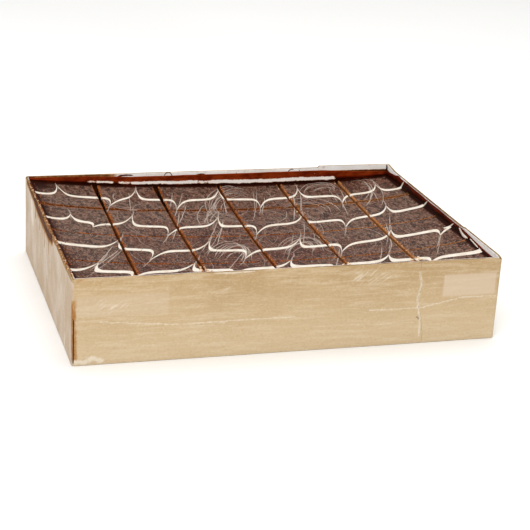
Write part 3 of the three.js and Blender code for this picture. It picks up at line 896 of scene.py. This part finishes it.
def along_side(x, y, side):
    """How far along its own wall each station lies."""
    return np.where((side == 0) | (side == 2), x, y)


def by_side(tables, x, y, side):
    """A value for each station, read from its own side's list."""
    found = np.zeros(len(x))
    for number, name in enumerate(SIDES):
        at = x if name in ("front", "back") else y
        found = np.where(side == number, table(tables[name], at), found)
    return found


def rim_height(x, y, side):
    """Height of the tray's cut rim, with the crushed front right corner."""
    rim = by_side(RIM, x, y, side)
    crushed = CRUSH["z"] - CRUSH["slope"] * ((x - CRUSH["x"]) - (y - CRUSH["y"]))
    return np.minimum(rim, crushed)


FLUTE, END_FLUTE = 6.4, 5.0  # pitch of the board's corrugation, and of the tears at its left end

# Marks on the outside, in millimetres along the wall and up: a path, its width and its strength.
CREASE = [(121, 82), (120, 69), (124, 59), (120, 44), (126, 24), (129, 0)]
SCUFFS_FRONT = [
    ([(120, 72), (123, 60), (120, 44), (124, 26), (125, 8)], 1.7, 0.66),
    ([(119, 66), (123, 59), (119, 48)], 2.4, 0.4),
    ([(-178, 41), (-106, 34), (-47, 35), (1, 35)], 1.2, 0.62),
    ([(73, 37), (123, 36), (163, 44), (200, 44)], 1.2, 0.62),
    ([(-97, 31), (-65, 33)], 1.2, 0.5),
    ([(20, 24), (140, 21)], 1.2, 0.5),
    ([(-140, 16), (-20, 13)], 1.4, 0.45),
    ([(-202, 5), (-192, 3), (-184, 7), (-176, 4)], 3.0, 0.75),
    ([(-76, 82), (-60, 81), (-40, 82)], 1.8, 0.7),
    ([(-203, 82), (203, 82)], 0.9, 0.42),
    ([(-203, 1), (203, 1)], 1.6, 0.42),
]
# Painted shade: the first line darkens the crease, for the shadow in its fold.
LINES_FRONT = [(CREASE, 0.8, 0.55), ([(121, 27), (123, 25.5)], 1.2, 0.9)]
FANS_FRONT = [  # middle along and up, half width, half height, strength
    (68, 70, 36, 11, 0.36), (-70, 66, 30, 9, 0.22), (-165, 56, 28, 7, 0.3), (10, 50, 50, 14, 0.14)]
STAINS_FRONT = [
    ([(-150, 27), (-148, 27)], 1.2, 0.42), ([(18, 31), (20, 31)], 1.1, 0.4),
    ([(-202, 60), (-201, 8)], 3.4, 0.66), ([(-202, 80), (-190, 82)], 1.6, 0.4),
    ([(-30, 82.5), (10, 82.5)], 1.2, 0.5), ([(30, 82.5), (120, 82.5)], 1.0, 0.45),
]
PALE_FRONT = [  # from and to along the wall, from and to up it, strength
    (-199, -117, 46, 66.5, 0.32), (145, 198, 46, 68, 0.65)]
SCUFFS_LEFT = [
    ([(100, 68), (95, 60), (92, 53)], 6.5, 1.0),
    ([(104, 58), (98, 52)], 4.0, 0.8),
    ([(7, 60), (-3, 40), (-12, 22)], 3.2, 0.5),
    ([(-84, 66), (-100, 45), (-112, 23)], 3.6, 0.5),
    ([(-150, 1), (150, 1)], 1.6, 0.4),
    ([(-113, 14), (-111, 1)], 5.0, 0.6),
]
LINES_LEFT = [([(-15, 76), (-14, 66), (-15, 57)], 0.9, 0.8)]
STAINS_LEFT = [
    ([(132, 82), (100, 80), (70, 79)], 5.5, 1.0), ([(78, 80), (52, 77), (20, 76)], 8.0, 1.1),
    ([(24, 76), (-6, 75), (-34, 78)], 7.0, 1.1), ([(74, 78), (72, 64)], 2.6, 0.85),
    ([(46, 76), (45, 60)], 1.6, 0.7), ([(14, 75), (12, 54)], 2.0, 0.75),
    ([(-14, 75), (-15, 56)], 1.8, 0.8), ([(-34, 79), (-62, 81), (-120, 81)], 2.0, 0.72),
    ([(-148, 60), (-149, 6)], 2.8, 0.66), ([(-148, 52), (-146, 46)], 2.6, 0.7),
    ([(146, 80), (148, 40)], 1.2, 0.35),
]


def marks(px, pz, lines):
    """Strength of the strongest of some drawn marks at each point."""
    found = np.zeros(np.shape(px))
    for path, width, strength in lines:
        off = line_distance(px, pz, path)
        found = np.maximum(found, strength * np.clip(1.4 - off / width, 0, 1))
    return found


def wave(place, pitch):
    """A wave from 0 to 1, such as the corrugated sheet makes in the board."""
    return 0.5 + 0.5 * np.cos(2 * math.pi * place / pitch)


def from_corner(x, y):
    """Distance from the nearest corner of the tray's plan."""
    return np.hypot(HALF_X - np.abs(x), HALF_Y - np.abs(y))


def open_seam(x, y, z):
    """1 in the slit where the front left corner's seam has opened, 0 away from it."""
    off = np.abs(np.where(from_corner(x, y) < CORNER * 1.2, (x + HALF_X) - (y + HALF_Y), 99))
    inside = (x < 0) & (y < 0) & (z > SLIT["low"]) & (z < SLIT["high"])
    return np.where(inside, np.clip(1.4 - off / SLIT["width"], 0, 1), 0)


def outer_push(x, y, z, side):
    """How far the outer face lies inside the plain wall: swells, flutes, crease, slit and dent."""
    front, left = side == 0, side == 3
    crease = np.where(front, marks(x, z, [(CREASE, 1.5, 1.0)]), 0)
    swell = 0.28 * (0.5 + 0.5 * noise(x, y, z, size=55, seed=31, octaves=2))
    flute = 0.07 * wave(z, FLUTE) * ((side == 0) | (side == 2))
    dent = 0.6 * np.exp(-((y + 57) ** 2 / 60 + (z - 78) ** 2 / 20)) * left
    return swell + flute + 0.4 * crease + SLIT["depth"] * open_seam(x, y, z) + dent


def outer_marks(x, y, z, side, rim):
    """The colour values of the outer face: wear, stains, lines, pale patches, torn liner and the left
    wall's painted sheen.
    """
    front, left = side == 0, side == 3

    def drawn(on_front, on_left):
        return np.where(left, marks(y, z, on_left), np.where(front, marks(x, z, on_front), 0))

    torn_to = 1.2 + 1.6 * np.clip(noise(y, 3, size=17, seed=37, octaves=2) + 0.5 - y / 150, 0, 1.3)
    core = np.clip(1.2 - (rim - z) / torn_to, 0, 1) * left
    fan, pale = np.zeros(len(x)), np.zeros(len(x))
    for cx, cz, wide, high, strength in FANS_FRONT:
        fan = np.maximum(fan, 1.6 * strength * spot(x, z, cx, cz, wide, high) * front)
    for low_x, high_x, low_z, high_z, strength in PALE_FRONT:
        inside = np.minimum(np.minimum(x - low_x, high_x - x), np.minimum(z - low_z, high_z - z))
        pale = np.maximum(pale, strength * np.clip(0.5 + inside / 1.2, 0, 1) * front)
    worn = np.clip(1 - from_corner(x, y) / 5, 0, 1) * 0.42
    worn = np.maximum(worn, 0.25 * np.clip(1 - z / 3, 0, 1))
    return dict(
        scuff=np.maximum(drawn(SCUFFS_FRONT, SCUFFS_LEFT), worn),
        stain=drawn(STAINS_FRONT, STAINS_LEFT),
        line=np.maximum(drawn(LINES_FRONT, LINES_LEFT), core * wave(y, END_FLUTE)),
        pale=pale,
        fan=fan,
        gap=open_seam(x, y, z),
        core=core,
        # Painted sheen over the left wall's kraft.
        film=0.8 * left,
        low=0.9 * np.clip(1.2 - z / 76, 0, 1) * ~left,
    )


def tray_shape():
    """The tray: fluted card with a kraft outside, a white inside and a raw cut rim."""
    shape = Shape()
    x, y, nx, ny, side = stations(1.25, 2.2)
    rim = rim_height(x, y, side)
    is_end = (side == 1) | (side == 3)
    along = along_side(x, y, side)
    torn = np.abs(noise(x, y, size=2.4, seed=21, octaves=2))
    flutes = 0.585 * wave(y, END_FLUTE)
    rim = rim - np.where(side == 3, 1.1 * torn + flutes, 0.16 * torn)
    n = len(x)
    rings = Rings(x, y, nx, ny)
    ring = rings.add

    def outside(inset, z):
        z = np.broadcast_to(z, n).astype(float)
        ring(inset + outer_push(x, y, z, side), z, **outer_marks(x, y, z, side, rim))

    ring(FOOT + 8, 0.0, line=0.0)
    outside(FOOT, 0.0)
    outside(FOOT * 0.3, FOOT * 0.3)
    levels = np.concatenate([np.linspace(FOOT, 70, 44), np.linspace(71.2, HEIGHT - 0.4, 14)])
    for level in levels:
        outside(0.0, rim * level / HEIGHT)
    # Across the cut rim: the outer liner, the open flutes sunk between the two, the inner liner.
    trench = np.where(is_end, 1.5, 0.5) * np.clip(from_corner(x, y) / 6, 0.1, 1)
    crushed = 0.35 * np.abs(noise(x, y, size=5, seed=23))
    worn = 0.35 + 0.3 * noise(x, y, size=9, seed=24)
    rim_stain = np.where(side == 3, marks(y, rim * 0 + 81, STAINS_LEFT) * 1.1, 0)
    rim_stain = np.maximum(rim_stain, np.where(side == 1, 0.95 * ((y < 88) & (y > -66)), 0))
    back_left = np.clip((-92 - x) / 34, 0, 1) * (side == 2)
    rim_stain = np.maximum(rim_stain, 0.8 * back_left)
    ring(0.3, rim - 0.04, scuff=worn, stain=rim_stain * 0.8, core=0.0)
    ring(0.5, rim, scuff=worn, stain=rim_stain, core=0.2)
    ring(0.72, rim - crushed - 0.1, stain=rim_stain, core=0.8)
    ring(0.8, rim - trench - 0.1, core=1.0, line=0.6)
    ring(2.3, rim - trench - 0.1, core=1.0, line=0.6)
    ring(2.38, rim - crushed - 0.1, stain=rim_stain, core=0.8, inside=0.4)
    ring(2.6, rim, scuff=0.2, stain=rim_stain, core=0.1, inside=1.0)
    ring(2.85, rim - 0.05, stain=rim_stain, inside=1.0)
    seam = np.clip(1.5 - np.abs(HALF_X - BOARD - x) / 1.1, 0, 1) * (y > HALF_Y - 4) * (x > 0)
    for drop in (0.35, 1, 2, 3.2, 4.6, 6.2, 8, 11, 16):
        level = rim - drop
        smear = 0.42 * np.clip(1 - drop / 7, 0, 1) * np.where(side == 3, 1.3, 0.5)
        smear = smear + 0.75 * back_left
        smear = smear + 0.2 * noise(along, drop, size=9, seed=27, octaves=2) + 1.4 * (drop > 6)
        wobble = 0.1 * (1 + noise(x, y, level, size=12, seed=26))
        ring(BOARD - wobble, level, inside=1.0, stain=np.clip(smear, 0, 1.4), gap=seam)
    ring(BOARD, 40.0, inside=1.0, stain=1.4)
    ring(BOARD, BOARD, inside=1.0, stain=1.4)
    points, values = rings.merged()
    count = len(rings.rows)
    caps = [np.arange(n)[::-1][None, :], ((count - 1) * n + np.arange(n))[None, :]]
    shape.add(points, [grid_faces(count, n, ring=True), *caps], 0, **values)
    for sign in (-1, 1):
        flute_medium(shape, sign)
    back_flap(shape)
    return shape


def flute_medium(shape, sign):
    """The wavy middle sheet of the board, seen on the cut rim of an end wall."""
    y = np.arange(-HALF_Y + 5, HALF_Y - 5, 0.8)
    side = np.full(len(y), 1 if sign > 0 else 3)
    rim = rim_height(np.full(len(y), sign * HALF_X), y, side)
    phase = 2 * math.pi * y / FLUTE + 0.9 * noise(y, sign, size=18, seed=33)
    centre = sign * (HALF_X - 1.55) + 0.66 * np.sin(phase)
    top = rim - 0.3 - 0.5 * np.abs(noise(y, 5, size=3.5, seed=34, octaves=2))
    points = []
    for off, z in ((-0.14, rim - 2.6), (-0.14, top), (0.14, top), (0.14, rim - 2.6)):
        points.append(np.column_stack([centre + off, y, z]))
    points = np.stack(points, 1).reshape(-1, 3)
    stain = np.tile(0.35 * np.clip(noise(y, 8, size=14, seed=35), 0, 1)[:, None], (1, 4)).ravel()
    faces = grid_faces(len(y), 4, ring=True)
    caps = [np.arange(4)[::-1][None, :], (np.arange(4) + (len(y) - 1) * 4)[None, :]]
    shape.add(points, [faces, *caps], 0, core=0.55, stain=stain)


def back_flap(shape):
    """The edge of the overlapping flap inside the back wall, where the rim steps up."""
    x = np.array([118.8, 119.0])
    z = np.linspace(79.4, 83.4, 6)
    y = HALF_Y - BOARD - 0.12
    points = [(x[0], y + 0.1, zz) for zz in z] + [(x[1], y, zz) for zz in z]
    shape.add(points, grid_faces(2, len(z)), 0, inside=0.6, line=0.5)


# ---- glaze on the walls
# The coat's thickness at its foot, on the wall and at its top edge, how fast it thins above the
# foot, how far the foot lies above the cake and the least height of the coat.
COAT = dict(toe=1.3, skin=0.85, lip=0.3, curl=0.9, foot=1.2, least=1.4)
COAT_SHARES = [  # heights of the coat's rings, as shares of its own height
    0.06, 0.14, 0.22, 0.3, 0.38, 0.46, 0.54, 0.62, 0.7, 0.78, 0.86, 0.93, 0.98, 1.0]
CORNER_REACH = 8.2  # nearer a corner than this, one ring point stands for the whole corner
# Spans of the back wall's coat that carry the painted highlight's white strip.
BACK_HIGHLIGHT = [  # from x, to x, strength
    (-139, -128, 0.42), (-129, -110, 0.66), (-106, -91, 0.56), (-91, -60, 0.95), (-60, -44, 1.0),
    (-44, -18, 0.95), (-17, -7, 0.66), (-6, 43, 1.0), (42, 69, 0.95), (68, 87, 1.0), (86, 138, 1.0)]


def coat_top(x, y, side):
    """Height of the top edge of the glaze on the walls."""
    top = by_side(COAT_TOP, x, y, side)
    along = along_side(x, y, side)
    return top + 0.45 * noise(along, side * 50, size=16, seed=51, octaves=2) * (1 - 0.3 * (side == 2))


def coat_shape():
    """Glaze clinging to the walls: a curled foot, a glossy skin and a thin ragged top edge."""
    shape = Shape()
    x, y, nx, ny, side = stations(1.8, 1.8, corner_steps=4)
    straight = ~((HALF_X - np.abs(x) < CORNER_REACH) & (HALF_Y - np.abs(y) < CORNER_REACH))
    firsts = ~straight & np.roll(straight, 1)
    keep = straight | firsts
    sign_x, sign_y = np.sign(x), np.sign(y)
    corner_x, corner_y = sign_x * HALF_X, sign_y * HALF_Y
    x, y = np.where(firsts, corner_x, x)[keep], np.where(firsts, corner_y, y)[keep]
    nx, ny = np.where(firsts, sign_x, nx)[keep], np.where(firsts, sign_y, ny)[keep]
    side = side[keep]
    n = len(x)
    wall = BOARD + GAP
    fx, fy = x - nx * wall, y - ny * wall
    foot = dish(fx, fy) + COAT["foot"]
    top = np.maximum(coat_top(x, y, side), foot + COAT["least"])
    height = top - foot
    along = along_side(x, y, side)
    on_back = side == 2
    patch = np.zeros(n)
    for low, high, strength in BACK_HIGHLIGHT:
        inner = np.minimum(along - low, high - along)
        patch = np.maximum(patch, strength * np.clip(0.5 + inner / 2.0, 0, 1))
    patch = patch * on_back
    rings = Rings(x, y, nx, ny)

    def ring(inset, z, share):
        # The painted highlight's band lies about a third of the way up the coat.
        highlight_middle = 0.33 + 0.04 * noise(along, 3, size=12, seed=55)
        on_walls = 0.6 * np.clip((share - 0.25) / 0.6, 0, 1)
        rings.add(inset, z, thin=np.where(on_back, np.clip((share - 0.22) / 0.25, 0, 1), on_walls),
                  rimmed=np.clip((share - 0.8) / 0.2, 0, 1) * np.where(on_back, 0.9, 0.55),
                  bare=patch * np.clip(1.35 - np.abs(share - highlight_middle) / 0.15, 0, 1))

    for inset, lift in ((COAT["toe"] + 0.5, -0.3), (COAT["toe"] + 0.1, 0.3)):
        deep = wall + inset
        ring(deep, dish(x - nx * deep, y - ny * deep) + wall_rise(inset) + lift, 0.0)
    for share in COAT_SHARES:
        up = height * share
        thick = COAT["lip"] + (COAT["skin"] - COAT["lip"]) * (1 - share) ** 0.6
        thick = thick + (COAT["toe"] - COAT["skin"]) * np.exp(-up / COAT["curl"])
        run = 0.22 * noise(along, 7, share * 9, size=6, seed=57)
        run = run + 0.18 * noise(along, 9, size=23, seed=58)
        ring(wall + np.maximum(0.22, thick + run * (1 - share)), foot + up, share)
    ring(wall, top - 0.02, 1.0)
    ring(wall, foot - 0.2, 0.0)
    points, values = rings.merged()
    faces = grid_faces(len(rings.rows), n, ring=True)
    join = np.arange(n)
    last = (len(rings.rows) - 1) * n
    closing = np.stack([last + join, last + (join + 1) % n, (join + 1) % n, join], -1)
    shape.add(points, [faces[:, ::-1], closing[:, ::-1]], 0, **values)
    for climb in CLIMBS:
        wall_climb(shape, *climb)
    for path, width in HOOKS:
        wall_hook(shape, path, width)
    for side_name, path, width in WALL_THREADS:
        wall_thread(shape, side_name, path, width)
    return shape


# Icing dragged up the right wall's coat: y on the cake, y at its top, height there, width.
CLIMBS = [
    (100.0, 93.5, 80.4, 3.0), (34.0, 26.0, 80.4, 3.0), (-35.5, -43.5, 79.8, 2.4),
    (-110.0, -106.0, 76.4, 4.6)]
HOOKS = [  # along the right wall, as (y, z), and how wide
    ([(-57, 79.2), (-62, 76.9), (-68, 75.6), (-74, 75.6), (-79, 76.2)], 2.8),
    ([(-84, 77.4), (-94, 76.4), (-104, 75.6)], 1.3),
]
WALL_THREADS = [  # thin glaze threads left on the board above the coat
    ("back", [(-55.3, 77.5), (-53.6, 81.4), (-49.2, 81.8), (-45.8, 77.5)], 0.8),
    ("back", [(84.6, 75), (84.4, 79.6), (87, 81.4), (90, 81.2)], 0.9),
    ("back", [(24, 74), (24.8, 79.6)], 1.1),
    ("back", [(96.5, 74), (96.8, 80.4)], 0.7),
    ("back", [(-106, 79.4), (-98, 80.6), (-89, 80.2)], 1.6),
    ("back", [(-22, 77.5), (-16, 79.2), (-10, 78.8)], 1.2),
    ("right", [(147, 82), (146.4, 76), (146.6, 72)], 1.2),
    ("right", [(120, 78.6), (112, 80.6), (106, 80.2)], 1.0),
]


def ridge(sunk):
    """A low ridge of icing: places across it from -1 to 1, and how far each stands out."""
    return (-1, -sunk), (-0.7, 0.12), (0, 0.25), (0.7, 0.12), (1, -sunk)


def coat_face(y, z):
    """x of the right wall's coat, at its proudest, at a place and height."""
    wall = HALF_X - BOARD - GAP
    up = np.maximum(z - dish(np.full(np.shape(y), wall), y) - COAT["foot"], 0)
    return wall - COAT["skin"] - 0.3 - (COAT["toe"] - COAT["skin"]) * np.exp(-up / COAT["curl"])


def wall_climb(shape, start, end, top, width):
    """A line of icing that leaves the cake and runs up the right wall's coat."""
    floor_x = np.linspace(191.5, CAKE_X - 3.2, 7)
    floor_y = np.full(7, float(start))
    floor_z = dish(floor_x, floor_y) + wall_rise(CAKE_X - floor_x) + ICING["relief"]
    rise = np.linspace(floor_z[-1] + 0.5, top, 9)
    run = start + (end - start) * np.linspace(0, 1, 9)
    spine = np.column_stack([np.append(floor_x, coat_face(run, rise)), np.append(floor_y, run),
                             np.append(floor_z, rise)])
    spine = smooth_path(spine, 0.7)
    along = np.linspace(0, 1, len(spine))
    half = width / 2 * np.clip((1 - along) * 5, 0.25, 1)
    turn = directions(spine)
    out = np.column_stack([-turn[:, 2], np.zeros(len(spine)), turn[:, 0]])
    rows = []
    for across, proud in ridge(0.25):
        row = spine + out * proud
        row[:, 1] += across * half
        rows.append(row)
    shape.strip(rows, ICED, across=0.3, milk=1.0)


def wall_hook(shape, path, width):
    """A thick drip of icing that hangs on the right wall's coat."""
    path = smooth_path(path, 1.0)
    normal = normals(path)
    along = np.linspace(0, 1, len(path))
    half = width / 2 * np.clip(np.minimum(along * 5 + 0.5, (1 - along) * 4), 0.2, 1)
    rows = []
    for across, rise in ridge(0.3):
        y, z = (path + across * normal * half[:, None]).T
        rows.append(np.column_stack([coat_face(y, z) - rise, y, z]))
    shape.strip(rows, ICED, across=0.3, milk=1.0)


def wall_thread(shape, side_name, path, width):
    """A thin thread of glaze on the uncoated board of one wall."""
    path = smooth_path(path, 0.8)
    normal = normals(path)
    along = np.linspace(0, 1, len(path))
    half = width / 2 * np.clip(np.minimum(along, 1 - along) * 8, 0.3, 1)
    on_back = side_name == "back"
    wall = (HALF_Y if on_back else HALF_X) - BOARD
    rows = []
    for across, rise in ((-1, 0.1), (0, 0.45), (1, 0.1)):
        place, z = (path + across * normal * half[:, None]).T
        deep = np.full(len(path), wall - rise)
        rows.append(np.column_stack([place, deep, z] if on_back else [deep, place, z]))
    shape.strip(rows, 0, thin=0.5, rimmed=0.3)


# ---- crumbs
CRUMBS = dict(column_cut=84, row_cut=46, left_edge=110, right_edge=60, cluster=14, left_rim=330)
CLUSTERS = [  # which cut, x and y
    (1, -70, -98), (3, 67.5, -100), (4, 133.5, -106), (1, -73, -94), (4, 137, -103)]


def crumb_shape(draw):
    """Loose crumbs along the knife cuts and by the walls."""
    shape = Shape()
    bm = bmesh.new()
    bmesh.ops.create_icosphere(bm, subdivisions=2, radius=1.0)
    ball = np.array([v.co[:] for v in bm.verts])
    tris = np.array([[v.index for v in f.verts] for f in bm.faces])
    bm.free()

    def crumb(x, y, size, tone, z=None):
        bumps = 1 + 0.35 * noise(ball[:, 0] + x, ball[:, 1] + y, ball[:, 2], size=0.7, seed=61)
        squash = np.array([draw.uniform(0.8, 1.3), draw.uniform(0.8, 1.3), draw.uniform(0.55, 0.9)])
        points = ball * bumps[:, None] * size * squash
        base = dish(x, y) if z is None else z
        points = points + [x, y, base + size * 0.35]
        shape.add(points, tris, 0, tone=tone)

    for cut, (x0, _) in enumerate(COLUMN_CUTS):
        for _ in range(CRUMBS["column_cut"]):
            y = draw.uniform(-141, 141)
            side = draw.choice([-1, 1], p=[0.35, 0.65])
            off = 0.9 + draw.exponential(0.8)
            crumb(float(column_edge(cut, side, y)) + side * off, y, draw.uniform(0.25, 0.7),
                  draw.uniform(0.15, 0.75 + 0.25 * (x0 > 50)))
    for y0 in ROW_CUTS:
        for _ in range(CRUMBS["row_cut"]):
            x = draw.uniform(-192, 192)
            side = draw.choice([-1, 1])
            y = y0 + side * (1.3 + draw.exponential(0.7))
            crumb(x, y, draw.uniform(0.2, 0.5), draw.uniform(0.1, 0.6))
    for _ in range(CRUMBS["left_edge"]):
        crumb(-CAKE_X + 4.8 + draw.exponential(2.2), draw.uniform(-138, 138), draw.uniform(0.25, 0.8),
              draw.uniform(0.0, 0.55))
    for _ in range(CRUMBS["right_edge"]):
        crumb(CAKE_X - 5.2 - draw.exponential(2.0), draw.uniform(-138, 138), draw.uniform(0.2, 0.6),
              draw.uniform(0.0, 0.45))
    for cut, x0, y0 in CLUSTERS:
        for _ in range(CRUMBS["cluster"]):
            x, y = x0 + draw.normal(0, 2.2), y0 + draw.normal(0, 3.5)
            lip = float(column_edge(cut, 1, y))
            x = max(x, lip + 0.9) if x > lip - COLUMN_KERF / 2 else min(x, lip - COLUMN_KERF - 0.9)
            crumb(x, y, draw.uniform(0.5, 1.15), draw.uniform(0.55, 1.0))
    for _ in range(CRUMBS["left_rim"]):
        y = draw.uniform(-138, 132)
        rim = table(RIM["left"], y)
        size = draw.uniform(0.3, 0.8)
        x = -HALF_X + 1.8 * size + draw.uniform(0.2, 1.5)
        crumb(x, y, size, draw.uniform(0.0, 0.95), rim - 0.9)
    return shape


# ---- assembly
cake, icing, threads = cake_material(), icing_material(), thread_material()
coat, board, loose = coat_material(), board_material(), crumb_material()

flat_mesh = toppings()
flat = bmesh.new()
flat.from_mesh(flat_mesh)
bpy.data.meshes.remove(flat_mesh)
for row in range(len(ROW_CUTS) + 1):
    for column in range(len(COLUMN_CUTS) + 1):
        node = f"cake_r{row + 1}_c{column + 1}"
        name = f"iced_r{row + 1}_c{column + 1}"
        made = cake_piece(row, column, flat).piece(name, [cake, icing, threads])
        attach(made, "root")
        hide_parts(node)
flat.free()

wall_coat = coat_shape().piece("wall_coat", [coat, icing])
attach(wall_coat, "root")
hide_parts("wall_glaze")

card_tray = tray_shape().piece("card_tray", [board], sharp=38)
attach(card_tray, "root")
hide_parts("tray")

crumbs = crumb_shape(np.random.default_rng(17)).piece("crumbs", [loose])
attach(crumbs, "root")

# ---- floor, light and camera
floor_shape = Shape()
reach = 6000.0
floor_shape.add([(-reach, -reach, 0), (reach, -reach, 0), (reach, reach, 0), (-reach, reach, 0)],
                np.array([[0, 1, 2, 3]]), 0)
floor = floor_shape.piece("studio_floor", [floor_material()])

scene = bpy.context.scene
world = bpy.data.worlds.new("studio")
world.use_nodes = True
world.node_tree.nodes["Background"].inputs["Color"].default_value = (1.0, 0.99, 0.975, 1.0)
world.node_tree.nodes["Background"].inputs["Strength"].default_value = 0.72
scene.world = world
scene.view_settings.view_transform = "Standard"


def softbox(name, place, aim, size, power):
    """A square soft light that faces a point."""
    lamp = bpy.data.lights.new(name, "AREA")
    lamp.shape, lamp.size, lamp.energy = "SQUARE", size, power
    made = bpy.data.objects.new(name, lamp)
    made.location = place
    made.rotation_euler = (Vector(aim) - Vector(place)).to_track_quat("-Z", "Y").to_euler()
    scene.collection.objects.link(made)


MIDDLE = (0, 0, 0.04)  # of the cake, in metres
softbox("key_softbox", (-0.9, -1.5, 2.0), MIDDLE, 1.3, 30)
softbox("top_softbox", (0.3, 0.5, 2.1), MIDDLE, 1.5, 17)

# The view from the front left, looking down at about 20 degrees. The place is in metres and the lens
# in millimetres. The angles are in degrees: up from straight down, the roll, and the turn to the left.
CAMERA = dict(place=(-0.3993, -1.3116, 0.542), raised=69.484, roll=-3.245, turned=-16.397, lens=99.27)
lens = bpy.data.cameras.new("camera")
lens.sensor_width, lens.lens = 36.0, CAMERA["lens"]
lens.clip_start, lens.clip_end = 0.05, 50.0
camera = bpy.data.objects.new("camera", lens)
camera.location = CAMERA["place"]
camera.rotation_euler = [math.radians(CAMERA[key]) for key in ("raised", "roll", "turned")]
scene.collection.objects.link(camera)
scene.camera = camera
